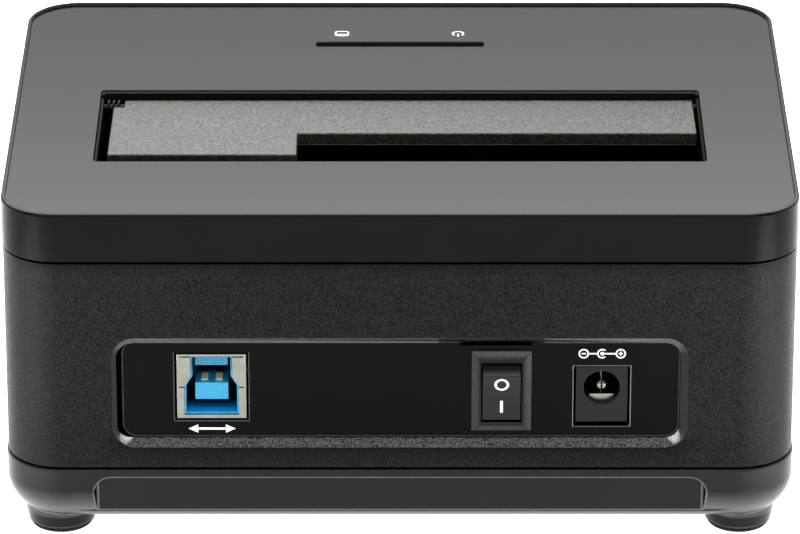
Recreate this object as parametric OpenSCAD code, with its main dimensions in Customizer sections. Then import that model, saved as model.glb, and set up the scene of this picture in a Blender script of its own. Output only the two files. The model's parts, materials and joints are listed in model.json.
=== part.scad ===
// Hard drive docking station.
// A free-standing dock with one drive slot in the top, an L-shaped spring door,
// a light bar near the front and a recessed panel with the ports at the rear.
// Sizes are in millimetres. The origin lies on the table, under the middle of
// the whole object. X runs across, Y from the front to the rear and Z up.

/* [Case] */
// Width of the top cover
case_w = 137.8; // [135:0.2:150]
// Depth of the top cover, front to rear
case_d = 100; // [98:1:112]
// Height from the table to the top of the rim
case_h = 63; // [62:1:72]
// Corner radius of the top cover, seen from above
corner_r = 9.5; // [8:0.5:11]
// Thickness of the moulded walls
wall_t = 2.2; // [2:0.1:2.4]
// Height of the top cover's side
cover_h = 8.8; // [8.4:0.2:11]
// Height of the base tray's side
base_h = 11.2; // [10.5:0.1:12]
// Radius that rounds the base tray under
base_fillet = 7; // [5:0.5:7.5]
// Width of the raised rim round the top
rim_w = 0.75; // [0.6:0.05:1.5]
// Height of the raised rim round the top
rim_h = 0.45; // [0.4:0.05:0.7]
// Open seam between two case pieces
seam_gap = 0.35; // [0.2:0.05:0.5]

/* [Slot and door] */
// Width of the slot in the top cover
slot_w = 107.4; // [107:0.1:109]
// Depth of the slot, front to rear
slot_d = 32.9; // [32.5:0.1:34]
// Distance from the rear edge of the cover to the slot
slot_rear = 24.7; // [23:0.1:25.5]
// Width of the opening that the door leaves for a small drive
small_w = 71.8; // [71:0.2:74]
// Depth of the opening that the door leaves for a small drive
small_d = 13.5; // [12:0.5:15]
// Thickness of the door plate
door_t = 1.8; // [1.5:0.1:1.8]
// Height of the lip along the free edges of the door
door_lip = 2.3; // [2:0.1:2.5]
// Upward tilt of the closed door, in degrees
door_tilt = 2.75; // [0:0.25:3]
// Depth of the hinge axis below the rim
hinge_down = 2.95; // [2.7:0.05:3.1]
// Distance of the hinge axis from the front edge of the slot
hinge_in = 2.3; // [2.2:0.1:2.6]

/* [Rear panel] */
// Height of the middle of the panel above the table
port_z = 29.3; // [29:0.1:29.6]
// Width of the panel window
window_w = 97; // [94:1:98]
// Height of the panel window
window_h = 17.9; // [17:0.1:18.5]
// Width of the bevel round the window
bevel_w = 1.5; // [1:0.1:2]
// Depth of the panel below the body's face
bevel_d = 1.25; // [1:0.05:1.35]
// Place of the data port across the panel
usb_x = 32.7; // [30:0.5:36]
// Place of the power switch across the panel
switch_x = -17.6; // [-19:0.2:-16]
// Place of the power jack across the panel
jack_x = -35; // [-37:0.5:-33]

/* [Boards] */
// Width of the main board
pcb_w = 100; // [98:1:106]
// Level of the main board's upper face
pcb_top = 23.1; // [22.8:0.1:23.4]
// Thickness of the main board
pcb_t = 1.6; // [1.2:0.1:1.6]
// Distance from the front edge of the cover to the light bar
light_front = 20.2; // [18:0.2:22]
// Length of the light slot
light_len = 30.8; // [26:0.2:34]
// Width of the light slot
light_w = 2.4; // [2:0.1:3]

/* [Feet] */
// Distance of a foot's axis from the side of the cover
foot_in_x = 9.2; // [8.8:0.1:10.5]
// Distance of a foot's axis from the front or rear edge
foot_in_y = 10; // [9.6:0.2:11]
// Radius of a moulded foot where it joins the base
foot_r = 6.7; // [6.2:0.1:7]
// Radius of a rubber pad
pad_r = 5.4; // [5:0.1:5.5]
// Height of a rubber pad below its foot
pad_t = 1; // [0.8:0.1:1.4]

/* [Hidden] */
$fn = 48;

// How far a cutting shape runs past the face that it cuts
cut = 1;
// How far two shapes of one piece sink into each other
sink = 0.2;
// Gap round a piece that is set into an opening
set_gap = 0.1;
// Radial gap of a turning fit
turn_gap = 0.05;
// Radial gap round a fixed pin or a screw in its bore
grip_gap = 0.03;
// Radial gap round a screw that passes through
pass_gap = 0.35;

// Switch rocker, measured from its pivot
rocker_r = 5.4;
rocker_face = 2.66;
rocker_half = 4.7;
rocker_angle = 12;
rocker_w = 6.55;
rocker_pivot_in = 0.36;
rocker_back = 2.84;
rocker_dish_r = 24;
rocker_dish = 0.45;
rocker_pin_r = 1;
rocker_pin_len = 0.55;

// Case inset of the body and the base against the top cover
body_inset = 0.1;
base_proud = 0.25;
rocker_reach = rocker_face * cos(rocker_angle) + rocker_half * sin(rocker_angle);
rocker_out = rocker_reach - rocker_pivot_in - bevel_d - body_inset;
mid_y = -max(0, rocker_out) / 2;
rear_y = mid_y + case_d / 2;
front_y = mid_y - case_d / 2;

// Distance in from the rear edge, as a place along Y
function from_rear(q) = rear_y - q;

// Levels
foot_h = 2.4;
pad_seat = 0.5;
base_low = pad_t + foot_h;
base_top = base_low + base_h;
cover_low = case_h - cover_h;
body_low = base_top + seam_gap;
body_top = cover_low - seam_gap;
plate_top = case_h - rim_h;
plate_low = plate_top - wall_t;
floor_t = 2.2;
floor_top = base_low + floor_t;
pcb_low = pcb_top - pcb_t;

// Plan sizes of the body and the base
body_w = case_w - 2 * body_inset;
body_d = case_d - 2 * body_inset;
body_r_more = 0.3;
body_r = corner_r + body_r_more;
base_w = body_w + 2 * base_proud;
base_d = body_d + 2 * base_proud;
base_r_more = 0.6;
base_r = body_r + base_r_more;
rim_edge_r = 0.4;

// Locating lips of the base and the cover inside the body
lip_gap = 0.15;
lip_t = 1.5;
lip_h = 2;
lip_root = 2;

// Pockets in the sides of the base
pocket_d = 1.5;
pocket_down = 1.6;
pocket_r = 3;
pocket_draft = 0.5;
pocket_clear = 6.3;
base_wall_t = 3.2;
base_inset = pocket_d + base_wall_t;

// Feet and the screws above them
foot_x = case_w / 2 - foot_in_x;
foot_y = case_d / 2 - foot_in_y;
foot_taper = 0.9;
foot_root = 1.9;
post_r = 3.6;
base_boss_h = 4.3;
post_h = 18;
post_low = floor_top + base_boss_h;
post_top = post_low + post_h;
base_boss_r = 4;
post_bite = 6.5;
post_spare = 2.5;
screw_r = 1.25;
screw_head_r = 2.7;
screw_head_h = 1.8;
head_gap = 0.3;
head_sink = 3;
bore_spare = 1;
recess_long = 1.1;
recess_slim = 0.24;
rib_t = 1.6;

// Screws between the body and the cover
lug_in_x = 8;
lug_in_y = 20;
lug_x = case_w / 2 - lug_in_x;
lug_y = case_d / 2 - lug_in_y;
lug_t = 2.5;
lug_r = 3.4;
lug_bite = 5.5;
lug_drop = 4.2;
lug_top = cover_low - lug_drop;
boss_r = 3;

// Drive well under the slot
rim_gap = 0.1;
rim_t = 0.5;
rim_low = 0.35;
well_t = 1.8;
well_in_x = slot_w / 2 - rim_gap - rim_t;
well_out_x = well_in_x + well_t;
well_rear_q = slot_rear + rim_gap + rim_t;
well_front_q = slot_rear + slot_d - rim_gap - rim_t;
well_d = well_front_q - well_rear_q;
well_mid_y = from_rear((well_rear_q + well_front_q) / 2);
well_top = plate_low - set_gap;
well_floor_up = 3.3;
well_floor_t = 1.8;
well_floor_low = pcb_top + well_floor_up;
well_floor_top = well_floor_low + well_floor_t;
slot_r = 0.8;
guide_h = 3;
guide_t = 1.2;
guide_len = 14;
ear_out = 4.1;
ear_r = 3.2;
ear_t = 1.8;
ear_drop = 6;
ear_top = plate_low - ear_drop;
ear_x = 35;
ear_bite = 4;
ear_sites = [
  for (s = [-1, 1]) [s * ear_x, from_rear(well_rear_q - well_t - ear_out), 1],
  for (s = [-1, 1]) [s * ear_x, from_rear(well_front_q + well_t + ear_out), -1]
];

// Door and its hinge
hinge_q = slot_rear + slot_d - hinge_in;
hinge_y = from_rear(hinge_q);
hinge_z = case_h - hinge_down;
pin_r = 0.65;
barrel_r = 1.3;
door_end_gap = 1.1;
spring_end_gap = 2.3;
door_rear_gap = 2.6;
door_x0 = -slot_w / 2 + door_end_gap;
door_x1 = slot_w / 2 - spring_end_gap;
door_step_x = -slot_w / 2 + small_w;
door_long = slot_d - hinge_in - door_rear_gap;
door_short = slot_d - hinge_in - small_d;
door_edge = 1.4;
door_low = barrel_r - door_lip;
spring_bay = 1.9;
spring_bay_d = 3.2;
heel_gap = 0.04;
heel_reach = hinge_in - rim_gap - rim_t - heel_gap;
heel_len = 6;
heel_z = 0.2;
heel_t = 0.5;
heel_sites = [-40, 0, 40];
pin_notch = 0.95;
hinge_block_in = 0.2;
hinge_block_len = 3.6;
hinge_block_w = 5.2;
hinge_block_h = 2.5;
pin_end_in = 0.4;
pin_half = well_out_x + hinge_block_in + hinge_block_len - pin_end_in;

// Torsion spring round the pin
wire_r = 0.22;
coil_r = 1.15;
coil_gap = 0.3;
coil_x0 = door_x1 - spring_bay + coil_gap + wire_r;
coil_x1 = well_in_x - coil_gap - wire_r;
coil_start = -90;
coil_end = -1097;
coil_rings = 8;
tube_sides = 6;
door_leg = 6.2;
wall_leg = 7.6;
spring_rest_len = 3.4;
spring_rest_w = 1;

// Light bar and its board
light_y = front_y + light_front;
light_sub = 0.15;
light_flange_t = 1;
light_flange_x = 1.4;
light_flange_y = 1.9;
light_stem = 3.3;
led_board_w = 48;
led_board_d = 9;
led_board_t = 1;
led_drop = 6.3;
led_board_top = plate_low - led_drop;
led_boss_x = 20;
led_boss_r = 2.6;
led_screw_r = 0.85;
led_bite = 4;
led_head_r = 1.7;
led_head_h = 1.3;
led_x = 11;
led_size = [3, 2, 1.2];

// Cable between the two boards
plug_x = 14;
plug_q = 62;
plug_size = [7.5, 4.6, 6];
cable_r = 0.5;
cable_pitch = 1.5;
cable_bend = 5;
cable_in = 2;
cable_rise = 6;

// Main board
pcb_rear_q = 6.5;
pcb_front_q = 65;
pcb_hole_in = 4;
pcb_hole_q = [17, 61];
pcb_boss_r = 3;
pcb_bite = 6;
notch_half = 6;
notch_q = 12.8;

// Drive connector
drive_edge_gap = 1.6;
sata_from_edge = 30.1;
drive_w = 101.6;
sata_from_wall = 3.9;
sata_x = -well_in_x + drive_edge_gap + sata_from_edge;
sata_y = from_rear(well_rear_q + sata_from_wall);
sata_size = [42, 5.8, 9.6];
sata_gap = 0.6;
sata_slot_d = 6.5;
sata_slot_w = 1.9;
sata_power_len = 20.8;
sata_signal_len = 10.4;
sata_between = 2;
sata_key_w = 1.2;
sata_key_d = 1.4;
sata_step = 1.27;
sata_signal_count = 7;
sata_power_count = 15;
sata_blade = [0.9, 0.25, 5.4];

// Data port
usb_w = 12.04;
usb_h = 12.2;
usb_len = 18;
usb_wall = 0.4;
usb_sub = 0.1;
usb_foot = 0.8;
usb_low = pcb_top + usb_foot;
usb_y = rear_y - body_inset - bevel_d - usb_sub;
usb_foot_len = 2;
usb_fit = 0.02;
usb_back_gap = 1;
usb_lip = 0.35;
usb_mouth_low = 1;
usb_mouth_top = usb_h - usb_wall - usb_lip;
usb_half_low = 4.4;
usb_half_up = 3.3;
usb_step_low = 6.1;
usb_step_up = 7.9;
usb_slit = 0.2;
usb_slit_z = 5.8;
usb_cavity = 11;
usb_tongue = [5.8, 3.2];
usb_tongue_z = 3;
usb_upper_tongue = [5.7, 1.6];
usb_upper_z = 9.5;
usb_tongue_in = 1;
usb_contact = [1.2, 9, 0.2];
usb_contact_x = 1.25;
usb_fine_contact = [0.5, 6, 0.15];
usb_fine_step = 0.9;
usb_fine_side = 2;

// Power jack
jack_w = 9;
jack_h = 10.6;
jack_len = 14;
jack_sub = 0.4;
jack_y = rear_y - body_inset - bevel_d - jack_sub;
jack_hole_r = 3.15;
jack_hole_z = 6.5;
jack_hole_len = 9.5;
jack_pin_r = 1.05;
jack_pin_len = 8.6;
jack_pin_root = 2;
jack_pin_round = 0.75;
leaf_w = 4.2;
leaf_t = 0.4;
leaf_down = 1.75;
leaf_gap = 0.06;
leaf_len = 8.2;

// Panel plate and its cut-outs
panel_y = rear_y - body_inset - bevel_d;
panel_t = 1.5;
panel_over = 1.8;
panel_w = window_w + 2 * panel_over;
panel_h = window_h + 2 * panel_over;
panel_r = 1.5;
window_r = 2.5;
port_gap = 0.4;
jack_cut_low = 0.75;
relief_half = 6.5;
relief_h = 1.2;

// Power switch, places measured inwards from the panel's face
switch_up = 0.05;
switch_z = port_z + switch_up;
bezel_w = 10.4;
bezel_h = 15.2;
bezel_t = 1.2;
bezel_edge = 0.45;
bezel_slope = 1.3;
switch_body_w = 8.6;
switch_body_h = 13.4;
switch_body_len = 10.5;
switch_cut_gap = 0.15;
switch_hole_w = 7;
switch_hole_h = 11.28;
switch_hole_len = 9;
plunger_r = 1;
plunger_tip = 5.7;
blade_axis_in = 6.4;
blade_half = 4.6;
blade_t = 0.4;
blade_w = 3;
blade_tilt = 8;
terminal_w = 3;
terminal_t = 0.8;
terminal_end = 16;
common_top = 6.75;
load_up = 4.5;
load_top = 7.3;
wire_cover_r = 0.6;
wire_bend = 1.8;
wire_apart = 1;

// Small parts on the main board
bridge_size = [9, 9, 1];
bridge_at = [6, 36];
flash_size = [5, 4, 1.5];
flash_at = [20, 38];
power_size = [5, 4, 1.5];
power_at = [-46, 38];
inductor_size = [6, 6, 2.8];
inductor_at = [-46, 29];
inductor_foot = 0.6;
inductor_core_r = 2.5;
cap_r = 3.15;
cap_h = 8;
cap_base = [6.8, 1.2];
cap_at = [[5.5, 13], [-3, 13]];
crystal_size = [11, 4.4, 3.2];
crystal_at = [16, 16];
crystal_flange = [0.4, 0.5];

// Rounded rectangle, centred
module round_rect(w, d, r) {
  square([w - 2 * r, d], center = true);
  square([w, d - 2 * r], center = true);
  for (sx = [-1, 1], sy = [-1, 1])
    translate([sx * (w / 2 - r), sy * (d / 2 - r)])
      circle(r);
}

// Upright block with round corners between two levels, in the middle of the case
module round_block(w, d, r, low, high) {
  translate([0, mid_y, low])
    linear_extrude(high - low)
      round_rect(w, d, r);
}

// Ring of that kind
module round_ring(w, d, r, t, low, high) {
  difference() {
    round_block(w, d, r, low, high);
    round_block(w - 2 * t, d - 2 * t, max(r - t, 1), low - cut, high + cut);
  }
}

// Box given by its middle across, its rear face, its low level and its size
module rear_box(x, y, low, size) {
  translate([x - size[0] / 2, y - size[1], low])
    cube(size);
}

// Waste outside a quarter circle
module corner_waste(r) {
  difference() {
    square(2 * r);
    circle(r);
  }
}

// Half of an upright section with its outer corners rounded
module half_section(reach, h, r_low, r_top) {
  difference() {
    square([reach, h]);
    if (r_low > 0)
      translate([reach - r_low, r_low])
        mirror([0, 1])
          corner_waste(r_low);
    if (r_top > 0)
      translate([reach - r_top, h - r_top])
        corner_waste(r_top);
  }
}

// Whole section of that kind
module full_section(len, h, r_low, r_top) {
  half_section(len / 2, h, r_low, r_top);
  mirror([1, 0])
    half_section(len / 2, h, r_low, r_top);
}

// Block with round corners whose lower and upper edges are rounded too
module soft_block(w, d, r, h, r_low, r_top) {
  for (sx = [-1, 1], sy = [-1, 1])
    translate([sx * (w / 2 - r), sy * (d / 2 - r), 0])
      rotate_extrude()
        half_section(r, h, r_low, r_top);
  translate([r - w / 2, 0, 0])
    rotate([90, 0, 90])
      linear_extrude(w - 2 * r)
        full_section(d, h, r_low, r_top);
  translate([0, d / 2 - r, 0])
    rotate([90, 0, 0])
      linear_extrude(d - 2 * r)
        full_section(w, h, r_low, r_top);
}

// Cylinder along Z between two levels
module post(x, y, r, low, high) {
  translate([x, y, low])
    cylinder(r = r, h = high - low);
}

// Cylinder along X between two places
module rod_x(y, z, r, x0, x1) {
  translate([x0, y, z])
    rotate([0, 90, 0])
      cylinder(r = r, h = x1 - x0);
}

// Cylinder along Y from a rear face inwards
module rod_y(x, z, r, y, len) {
  translate([x, y, z])
    rotate([90, 0, 0])
      cylinder(r = r, h = len);
}

// Screw that points up, given the level under its head
module screw_up(x, y, r, head_r, head_h, seat, tip) {
  difference() {
    union() {
      post(x, y, head_r, seat - head_h, seat);
      post(x, y, r, seat - sink, tip);
    }
    translate([x, y, seat - head_h / 2])
      cube([head_r * recess_long, head_r * recess_slim, head_h + sink], center = true);
    translate([x, y, seat - head_h / 2])
      cube([head_r * recess_slim, head_r * recess_long, head_h + sink], center = true);
  }
}

// The four places of the feet
module at_feet() {
  for (sx = [-1, 1], sy = [-1, 1])
    translate([sx * foot_x, mid_y + sy * foot_y, 0])
      children();
}

// The four places of the screws that hold the cover
module at_lugs() {
  for (sx = [-1, 1], sy = [-1, 1])
    translate([sx * lug_x, mid_y + sy * lug_y, 0])
      children();
}

// The four places of the screws that hold the main board
module at_pcb_holes() {
  for (sx = [-1, 1], q = pcb_hole_q)
    translate([sx * (pcb_w / 2 - pcb_hole_in), from_rear(q), 0])
      children();
}

// Top cover with its rim, its two slots and its bosses
module cover_shell() {
  difference() {
    translate([0, mid_y, cover_low])
      soft_block(case_w, case_d, corner_r, cover_h, 0, rim_edge_r);
    round_block(case_w - 2 * rim_w, case_d - 2 * rim_w, corner_r - rim_w,
      plate_top, case_h + cut);
    round_block(case_w - 2 * wall_t, case_d - 2 * wall_t, corner_r - wall_t,
      cover_low - cut, plate_low);
  }
}

module cover_lip() {
  lip_w = body_w - 2 * (wall_t + lip_gap);
  lip_d = body_d - 2 * (wall_t + lip_gap);
  lip_r = body_r - wall_t - lip_gap;
  root_t = lip_t + lip_gap + body_inset + sink;
  root_w = case_w - 2 * wall_t + 2 * sink;
  root_d = case_d - 2 * wall_t + 2 * sink;
  round_ring(lip_w, lip_d, lip_r, lip_t, cover_low - lip_h, cover_low + sink);
  round_ring(root_w, root_d, corner_r - wall_t + sink, root_t, cover_low, cover_low + lip_root);
}

module cover_bosses() {
  at_lugs()
    post(0, 0, boss_r, lug_top, plate_low + sink);
  for (site = ear_sites)
    post(site[0], site[1], boss_r, ear_top, plate_low + sink);
  for (s = [-1, 1])
    post(s * led_boss_x, light_y, led_boss_r, led_board_top, plate_low + sink);
  for (s = [-1, 1])
    translate([s * (well_out_x + hinge_block_in + hinge_block_len / 2), hinge_y, plate_low])
      translate([0, 0, (sink - hinge_block_h) / 2])
        cube([hinge_block_len, hinge_block_w, hinge_block_h + sink], center = true);
}

module top_cover() {
  color("dimgray")
    difference() {
      union() {
        cover_shell();
        cover_lip();
        cover_bosses();
      }
      translate([0, from_rear(slot_rear + slot_d / 2), plate_low - cut])
        linear_extrude(wall_t + rim_h + 2 * cut)
          round_rect(slot_w, slot_d, slot_r);
      translate([0, light_y, plate_low - cut])
        linear_extrude(wall_t + rim_h + 2 * cut)
          round_rect(light_len, light_w, light_w / 4);
      at_lugs()
        post(0, 0, screw_r + grip_gap, lug_top - cut, lug_top + lug_bite + bore_spare);
      for (site = ear_sites)
        post(site[0], site[1], screw_r + grip_gap, ear_top - cut, ear_top + ear_bite);
      for (s = [-1, 1])
        post(s * led_boss_x, light_y, led_screw_r + grip_gap, led_board_top - cut,
          led_board_top + led_bite + bore_spare);
      rod_x(hinge_y, hinge_z, pin_r + grip_gap, -pin_half - cut, pin_half + cut);
    }
}

// Middle ring of the case with its screw posts and the rear window
module window_cut(w, h, r, grow, depth) {
  for (sx = [-1, 1], sz = [-1, 1])
    translate([sx * (w / 2 - r), 0, sz * (h / 2 - r)])
      rotate([-90, 0, 0])
        cylinder(r1 = r, r2 = r + grow, h = depth);
  translate([r - w / 2, 0, 0])
    rotate([90, 0, 90])
      linear_extrude(w - 2 * r)
        polygon([[0, -h / 2], [0, h / 2], [depth, h / 2 + grow], [depth, -h / 2 - grow]]);
  translate([0, 0, r - h / 2])
    linear_extrude(h - 2 * r)
      polygon([[-w / 2, 0], [w / 2, 0], [w / 2 + grow, depth], [-w / 2 - grow, depth]]);
}

module body_posts() {
  rib_low = base_top + lip_h + lip_gap;
  inner_x = body_w / 2 - wall_t + sink;
  inner_y = body_d / 2 - wall_t + sink;
  at_feet()
    post(0, 0, post_r, post_low, post_top);
  for (sx = [-1, 1], sy = [-1, 1]) {
    translate([sx * (foot_x + inner_x) / 2, mid_y + sy * foot_y, (rib_low + post_top) / 2])
      cube([inner_x - foot_x, rib_t, post_top - rib_low], center = true);
    translate([sx * foot_x, mid_y + sy * (foot_y + inner_y) / 2, (rib_low + post_top) / 2])
      cube([rib_t, inner_y - foot_y, post_top - rib_low], center = true);
  }
  at_lugs()
    post(0, 0, lug_r, lug_top - lug_t, lug_top);
  for (sx = [-1, 1], sy = [-1, 1])
    translate([sx * (lug_x + inner_x) / 2, mid_y + sy * lug_y, lug_top - lug_t / 2])
      cube([inner_x - lug_x, 2 * lug_r, lug_t], center = true);
}

module body_shell() {
  past = 0.4;
  deep = bevel_d + past;
  color("black")
    difference() {
      union() {
        round_ring(body_w, body_d, body_r, wall_t, body_low, body_top);
        body_posts();
      }
      translate([0, panel_y, port_z])
        window_cut(window_w, window_h, window_r, bevel_w * deep / bevel_d, deep);
      translate([0, panel_y, port_z])
        rotate([90, 0, 0])
          linear_extrude(wall_t + cut)
            round_rect(panel_w + 2 * set_gap, panel_h + 2 * set_gap, panel_r);
      translate([switch_x - relief_half, panel_y - sink, port_z + window_h / 2 - sink])
        cube([2 * relief_half, bevel_d + past + sink, relief_h + sink]);
      at_feet()
        post(0, 0, screw_r + grip_gap, post_low - cut, post_low + post_bite + post_spare);
      at_lugs()
        post(0, 0, screw_r + pass_gap, lug_top - lug_t - cut, lug_top + cut);
    }
}

// Glossy plate behind the window
module rear_panel() {
  deep = panel_t + 2 * cut;
  color("black")
    difference() {
      translate([0, panel_y, port_z])
        rotate([90, 0, 0])
          linear_extrude(panel_t)
            round_rect(panel_w, panel_h, panel_r);
      rear_box(usb_x, panel_y + cut, usb_low - port_gap,
        [usb_w + 2 * port_gap, deep, usb_h + 2 * port_gap]);
      rear_box(jack_x, panel_y + cut, pcb_top - jack_cut_low,
        [jack_w + 2 * port_gap, deep, jack_h + jack_cut_low + port_gap / 2]);
      rear_box(switch_x, panel_y + cut, switch_z - switch_body_h / 2 - switch_cut_gap,
        [switch_body_w + 2 * switch_cut_gap, deep, switch_body_h + 2 * switch_cut_gap]);
    }
}

// Base tray with its pockets, feet and bosses
module pocket_shape(half, edge, turn) {
  top = base_top - pocket_down;
  low = base_low - cut;
  inner = half - pocket_draft;
  rotate([0, 0, turn])
    intersection() {
      translate([0, 0, low])
        linear_extrude(top - low + cut)
          polygon([
            [-inner, edge - pocket_d], [inner, edge - pocket_d], [half, edge],
            [half, edge + cut], [-half, edge + cut], [-half, edge]
          ]);
      translate([0, edge + 2 * cut, 0])
        rotate([90, 0, 0])
          linear_extrude(pocket_d + 4 * cut)
            union() {
              translate([-half - cut, low - cut])
                square([2 * half + 2 * cut, top - pocket_r - low + cut]);
              translate([pocket_r - half, low - cut])
                square([2 * half - 2 * pocket_r, top - low + cut]);
              for (s = [-1, 1])
                translate([s * (half - pocket_r), top - pocket_r])
                  circle(pocket_r);
            }
    }
}

module base_feet() {
  at_feet() {
    translate([0, 0, pad_t])
      cylinder(r1 = foot_r - foot_taper, r2 = foot_r, h = foot_h + foot_root);
    post(0, 0, base_boss_r, floor_top - sink, post_low);
  }
  at_pcb_holes()
    post(0, 0, pcb_boss_r, floor_top - sink, pcb_low);
}

module base_tray() {
  lip_w = body_w - 2 * (wall_t + lip_gap);
  lip_d = body_d - 2 * (wall_t + lip_gap);
  color("dimgray")
    difference() {
      union() {
        difference() {
          translate([0, mid_y, base_low])
            soft_block(base_w, base_d, base_r, base_h, base_fillet, 0);
          round_block(base_w - 2 * base_inset, base_d - 2 * base_inset, base_r - base_inset,
            floor_top, base_top + cut);
          translate([0, mid_y, 0]) {
            for (turn = [0, 180])
              pocket_shape(foot_x - pocket_clear, base_d / 2, turn);
            for (turn = [90, 270])
              pocket_shape(foot_y - pocket_clear, base_w / 2, turn);
          }
        }
        round_ring(lip_w, lip_d, body_r - wall_t - lip_gap, lip_t,
          base_top - sink, base_top + lip_h);
        base_feet();
      }
      at_feet() {
        post(0, 0, pad_r + set_gap, pad_t - cut, pad_t + pad_seat);
        post(0, 0, screw_head_r + head_gap, pad_t, pad_t + pad_seat + head_sink);
        post(0, 0, screw_r + pass_gap, pad_t, post_low + cut);
      }
      at_pcb_holes()
        post(0, 0, screw_r + grip_gap, pcb_low - pcb_bite - cut, pcb_low + cut);
    }
}

// Rubber pad under a foot
module foot_pad(i) {
  sx = i % 2 == 0 ? -1 : 1;
  sy = i < 2 ? -1 : 1;
  edge = 0.3;
  color("black")
    translate([sx * foot_x, mid_y + sy * foot_y, 0]) {
      cylinder(r1 = pad_r - edge, r2 = pad_r, h = edge);
      translate([0, 0, edge])
        cylinder(r = pad_r, h = pad_t + pad_seat - edge);
    }
}

// Well that guides a drive down to its connector
module well_ears() {
  for (site = ear_sites) {
    post(site[0], site[1], ear_r, ear_top - ear_t, ear_top);
    translate([site[0], site[1] - site[2] * ear_out / 2, ear_top - ear_t / 2])
      cube([2 * ear_r, ear_out + 2 * sink, ear_t], center = true);
  }
}

module well_guides() {
  guide_x = [-well_in_x + guide_t / 2, sata_x - sata_from_edge + drive_w + guide_t];
  for (x = guide_x)
    translate([x - guide_t / 2, from_rear(well_rear_q + guide_len), well_floor_top - sink])
      cube([guide_t, guide_len, guide_h + sink]);
}

module drive_well() {
  color("black")
    difference() {
      union() {
        difference() {
          union() {
            translate([0, well_mid_y, well_floor_low])
              linear_extrude(well_top - well_floor_low)
                square([2 * well_out_x, well_d + 2 * well_t], center = true);
            translate([0, well_mid_y, well_top - sink])
              linear_extrude(plate_top - rim_low - well_top + sink)
                round_rect(2 * (well_in_x + rim_t), well_d + 2 * rim_t, slot_r - rim_gap);
          }
          translate([0, well_mid_y, well_floor_top])
            linear_extrude(case_h)
              square([2 * well_in_x, well_d], center = true);
        }
        well_ears();
        well_guides();
      }
      translate([sata_x, sata_y, well_floor_low])
        cube([sata_size[0] + 2 * sata_gap, sata_size[1] + 2 * sata_gap, 3 * well_t], center = true);
      for (site = ear_sites)
        post(site[0], site[1], screw_r + pass_gap, ear_top - ear_t - cut, ear_top + cut);
      for (s = [-1, 1])
        translate([s * (well_in_x + well_t / 2), hinge_y, hinge_z]) {
          rotate([0, 90, 0])
            cylinder(r = pin_notch, h = well_t + cut, center = true);
          translate([-(well_t + cut) / 2, -pin_notch, 0])
            cube([well_t + cut, 2 * pin_notch, hinge_down]);
        }
    }
}

// L-shaped door, drawn flat about its hinge axis and then tilted to its closed place
module door_plate() {
  plate_low_z = barrel_r - door_t;
  translate([door_x0, 0, plate_low_z])
    cube([door_x1 - door_x0, door_short, door_t]);
  translate([door_step_x, 0, plate_low_z])
    cube([door_x1 - door_step_x, door_long, door_t]);
  translate([door_x0, door_short - door_edge, door_low])
    cube([door_step_x - door_x0 + door_edge, door_edge, door_lip]);
  translate([door_step_x, door_short - door_edge, door_low])
    cube([door_edge, door_long - door_short + door_edge, door_lip]);
  translate([door_step_x, door_long - door_edge, door_low])
    cube([door_x1 - door_step_x, door_edge, door_lip]);
  for (x = [door_x0, door_x1 - door_edge])
    translate([x, spring_bay_d, door_low])
      cube([door_edge, (x < 0 ? door_short : door_long) - spring_bay_d, door_lip]);
  translate([door_x1 - spring_bay, spring_bay_d, wire_r - coil_r + heel_gap])
    cube([spring_rest_w, spring_rest_len, plate_low_z - wire_r + coil_r]);
  rod_x(0, 0, barrel_r, door_x0, door_x1 - spring_bay);
  for (x = heel_sites)
    translate([x - heel_len / 2, -heel_reach, heel_z])
      cube([heel_len, heel_reach - barrel_r / 2, heel_t]);
}

module slot_door() {
  color("gray")
    translate([0, hinge_y, hinge_z])
      rotate([door_tilt, 0, 0])
        difference() {
          door_plate();
          translate([door_x1 - spring_bay, -cut, -barrel_r - cut])
            cube([spring_bay + cut, spring_bay_d + cut, 2 * barrel_r + 2 * cut]);
          rod_x(0, 0, pin_r + turn_gap, door_x0 - cut, door_x1 + cut);
        }
}

module hinge_pin() {
  color("silver")
    rod_x(hinge_y, hinge_z, pin_r, -pin_half, pin_half);
}

// Torsion spring: a leg under the door, a coil round the pin and a leg to the front wall
coil_steps = ceil((coil_start - coil_end) / 360 * coil_rings);
function coil_angle(i) = coil_start + (coil_end - coil_start) * i / coil_steps;
function coil_x(i) = coil_x0 + (coil_x1 - coil_x0) * i / coil_steps;
function coil_out(a) = [0, cos(a), sin(a)];
function coil_along(a) = [0, sin(a), -cos(a)];
function coil_point(i) = [coil_x(i), 0, 0] + coil_r * coil_out(coil_angle(i));
spring_path = concat(
  [[coil_point(0) - door_leg * coil_along(coil_start), coil_start]],
  [for (i = [0:coil_steps]) [coil_point(i), coil_angle(i)]],
  [[coil_point(coil_steps) + wall_leg * coil_along(coil_end), coil_end]]
);
function side_angle(k) = k * 360 / tube_sides;
function ring_point(p, k) =
  p[0] + wire_r * (cos(side_angle(k)) * coil_out(p[1]) + sin(side_angle(k)) * [1, 0, 0]);
spring_rings = len(spring_path);
spring_points = [for (p = spring_path, k = [0:tube_sides - 1]) ring_point(p, k)];
function ring_at(i, k) = i * tube_sides + k % tube_sides;
spring_sides = [
  for (i = [0:spring_rings - 2], k = [0:tube_sides - 1], half = [0, 1])
    half == 0
      ? [ring_at(i, k), ring_at(i, k + 1), ring_at(i + 1, k + 1)]
      : [ring_at(i, k), ring_at(i + 1, k + 1), ring_at(i + 1, k)]
];
last_ring = spring_rings - 1;
spring_ends = [
  for (k = [1:tube_sides - 2], side = [0, 1])
    side == 0
      ? [ring_at(0, 0), ring_at(0, k + 1), ring_at(0, k)]
      : [ring_at(last_ring, 0), ring_at(last_ring, k), ring_at(last_ring, k + 1)]
];
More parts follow.
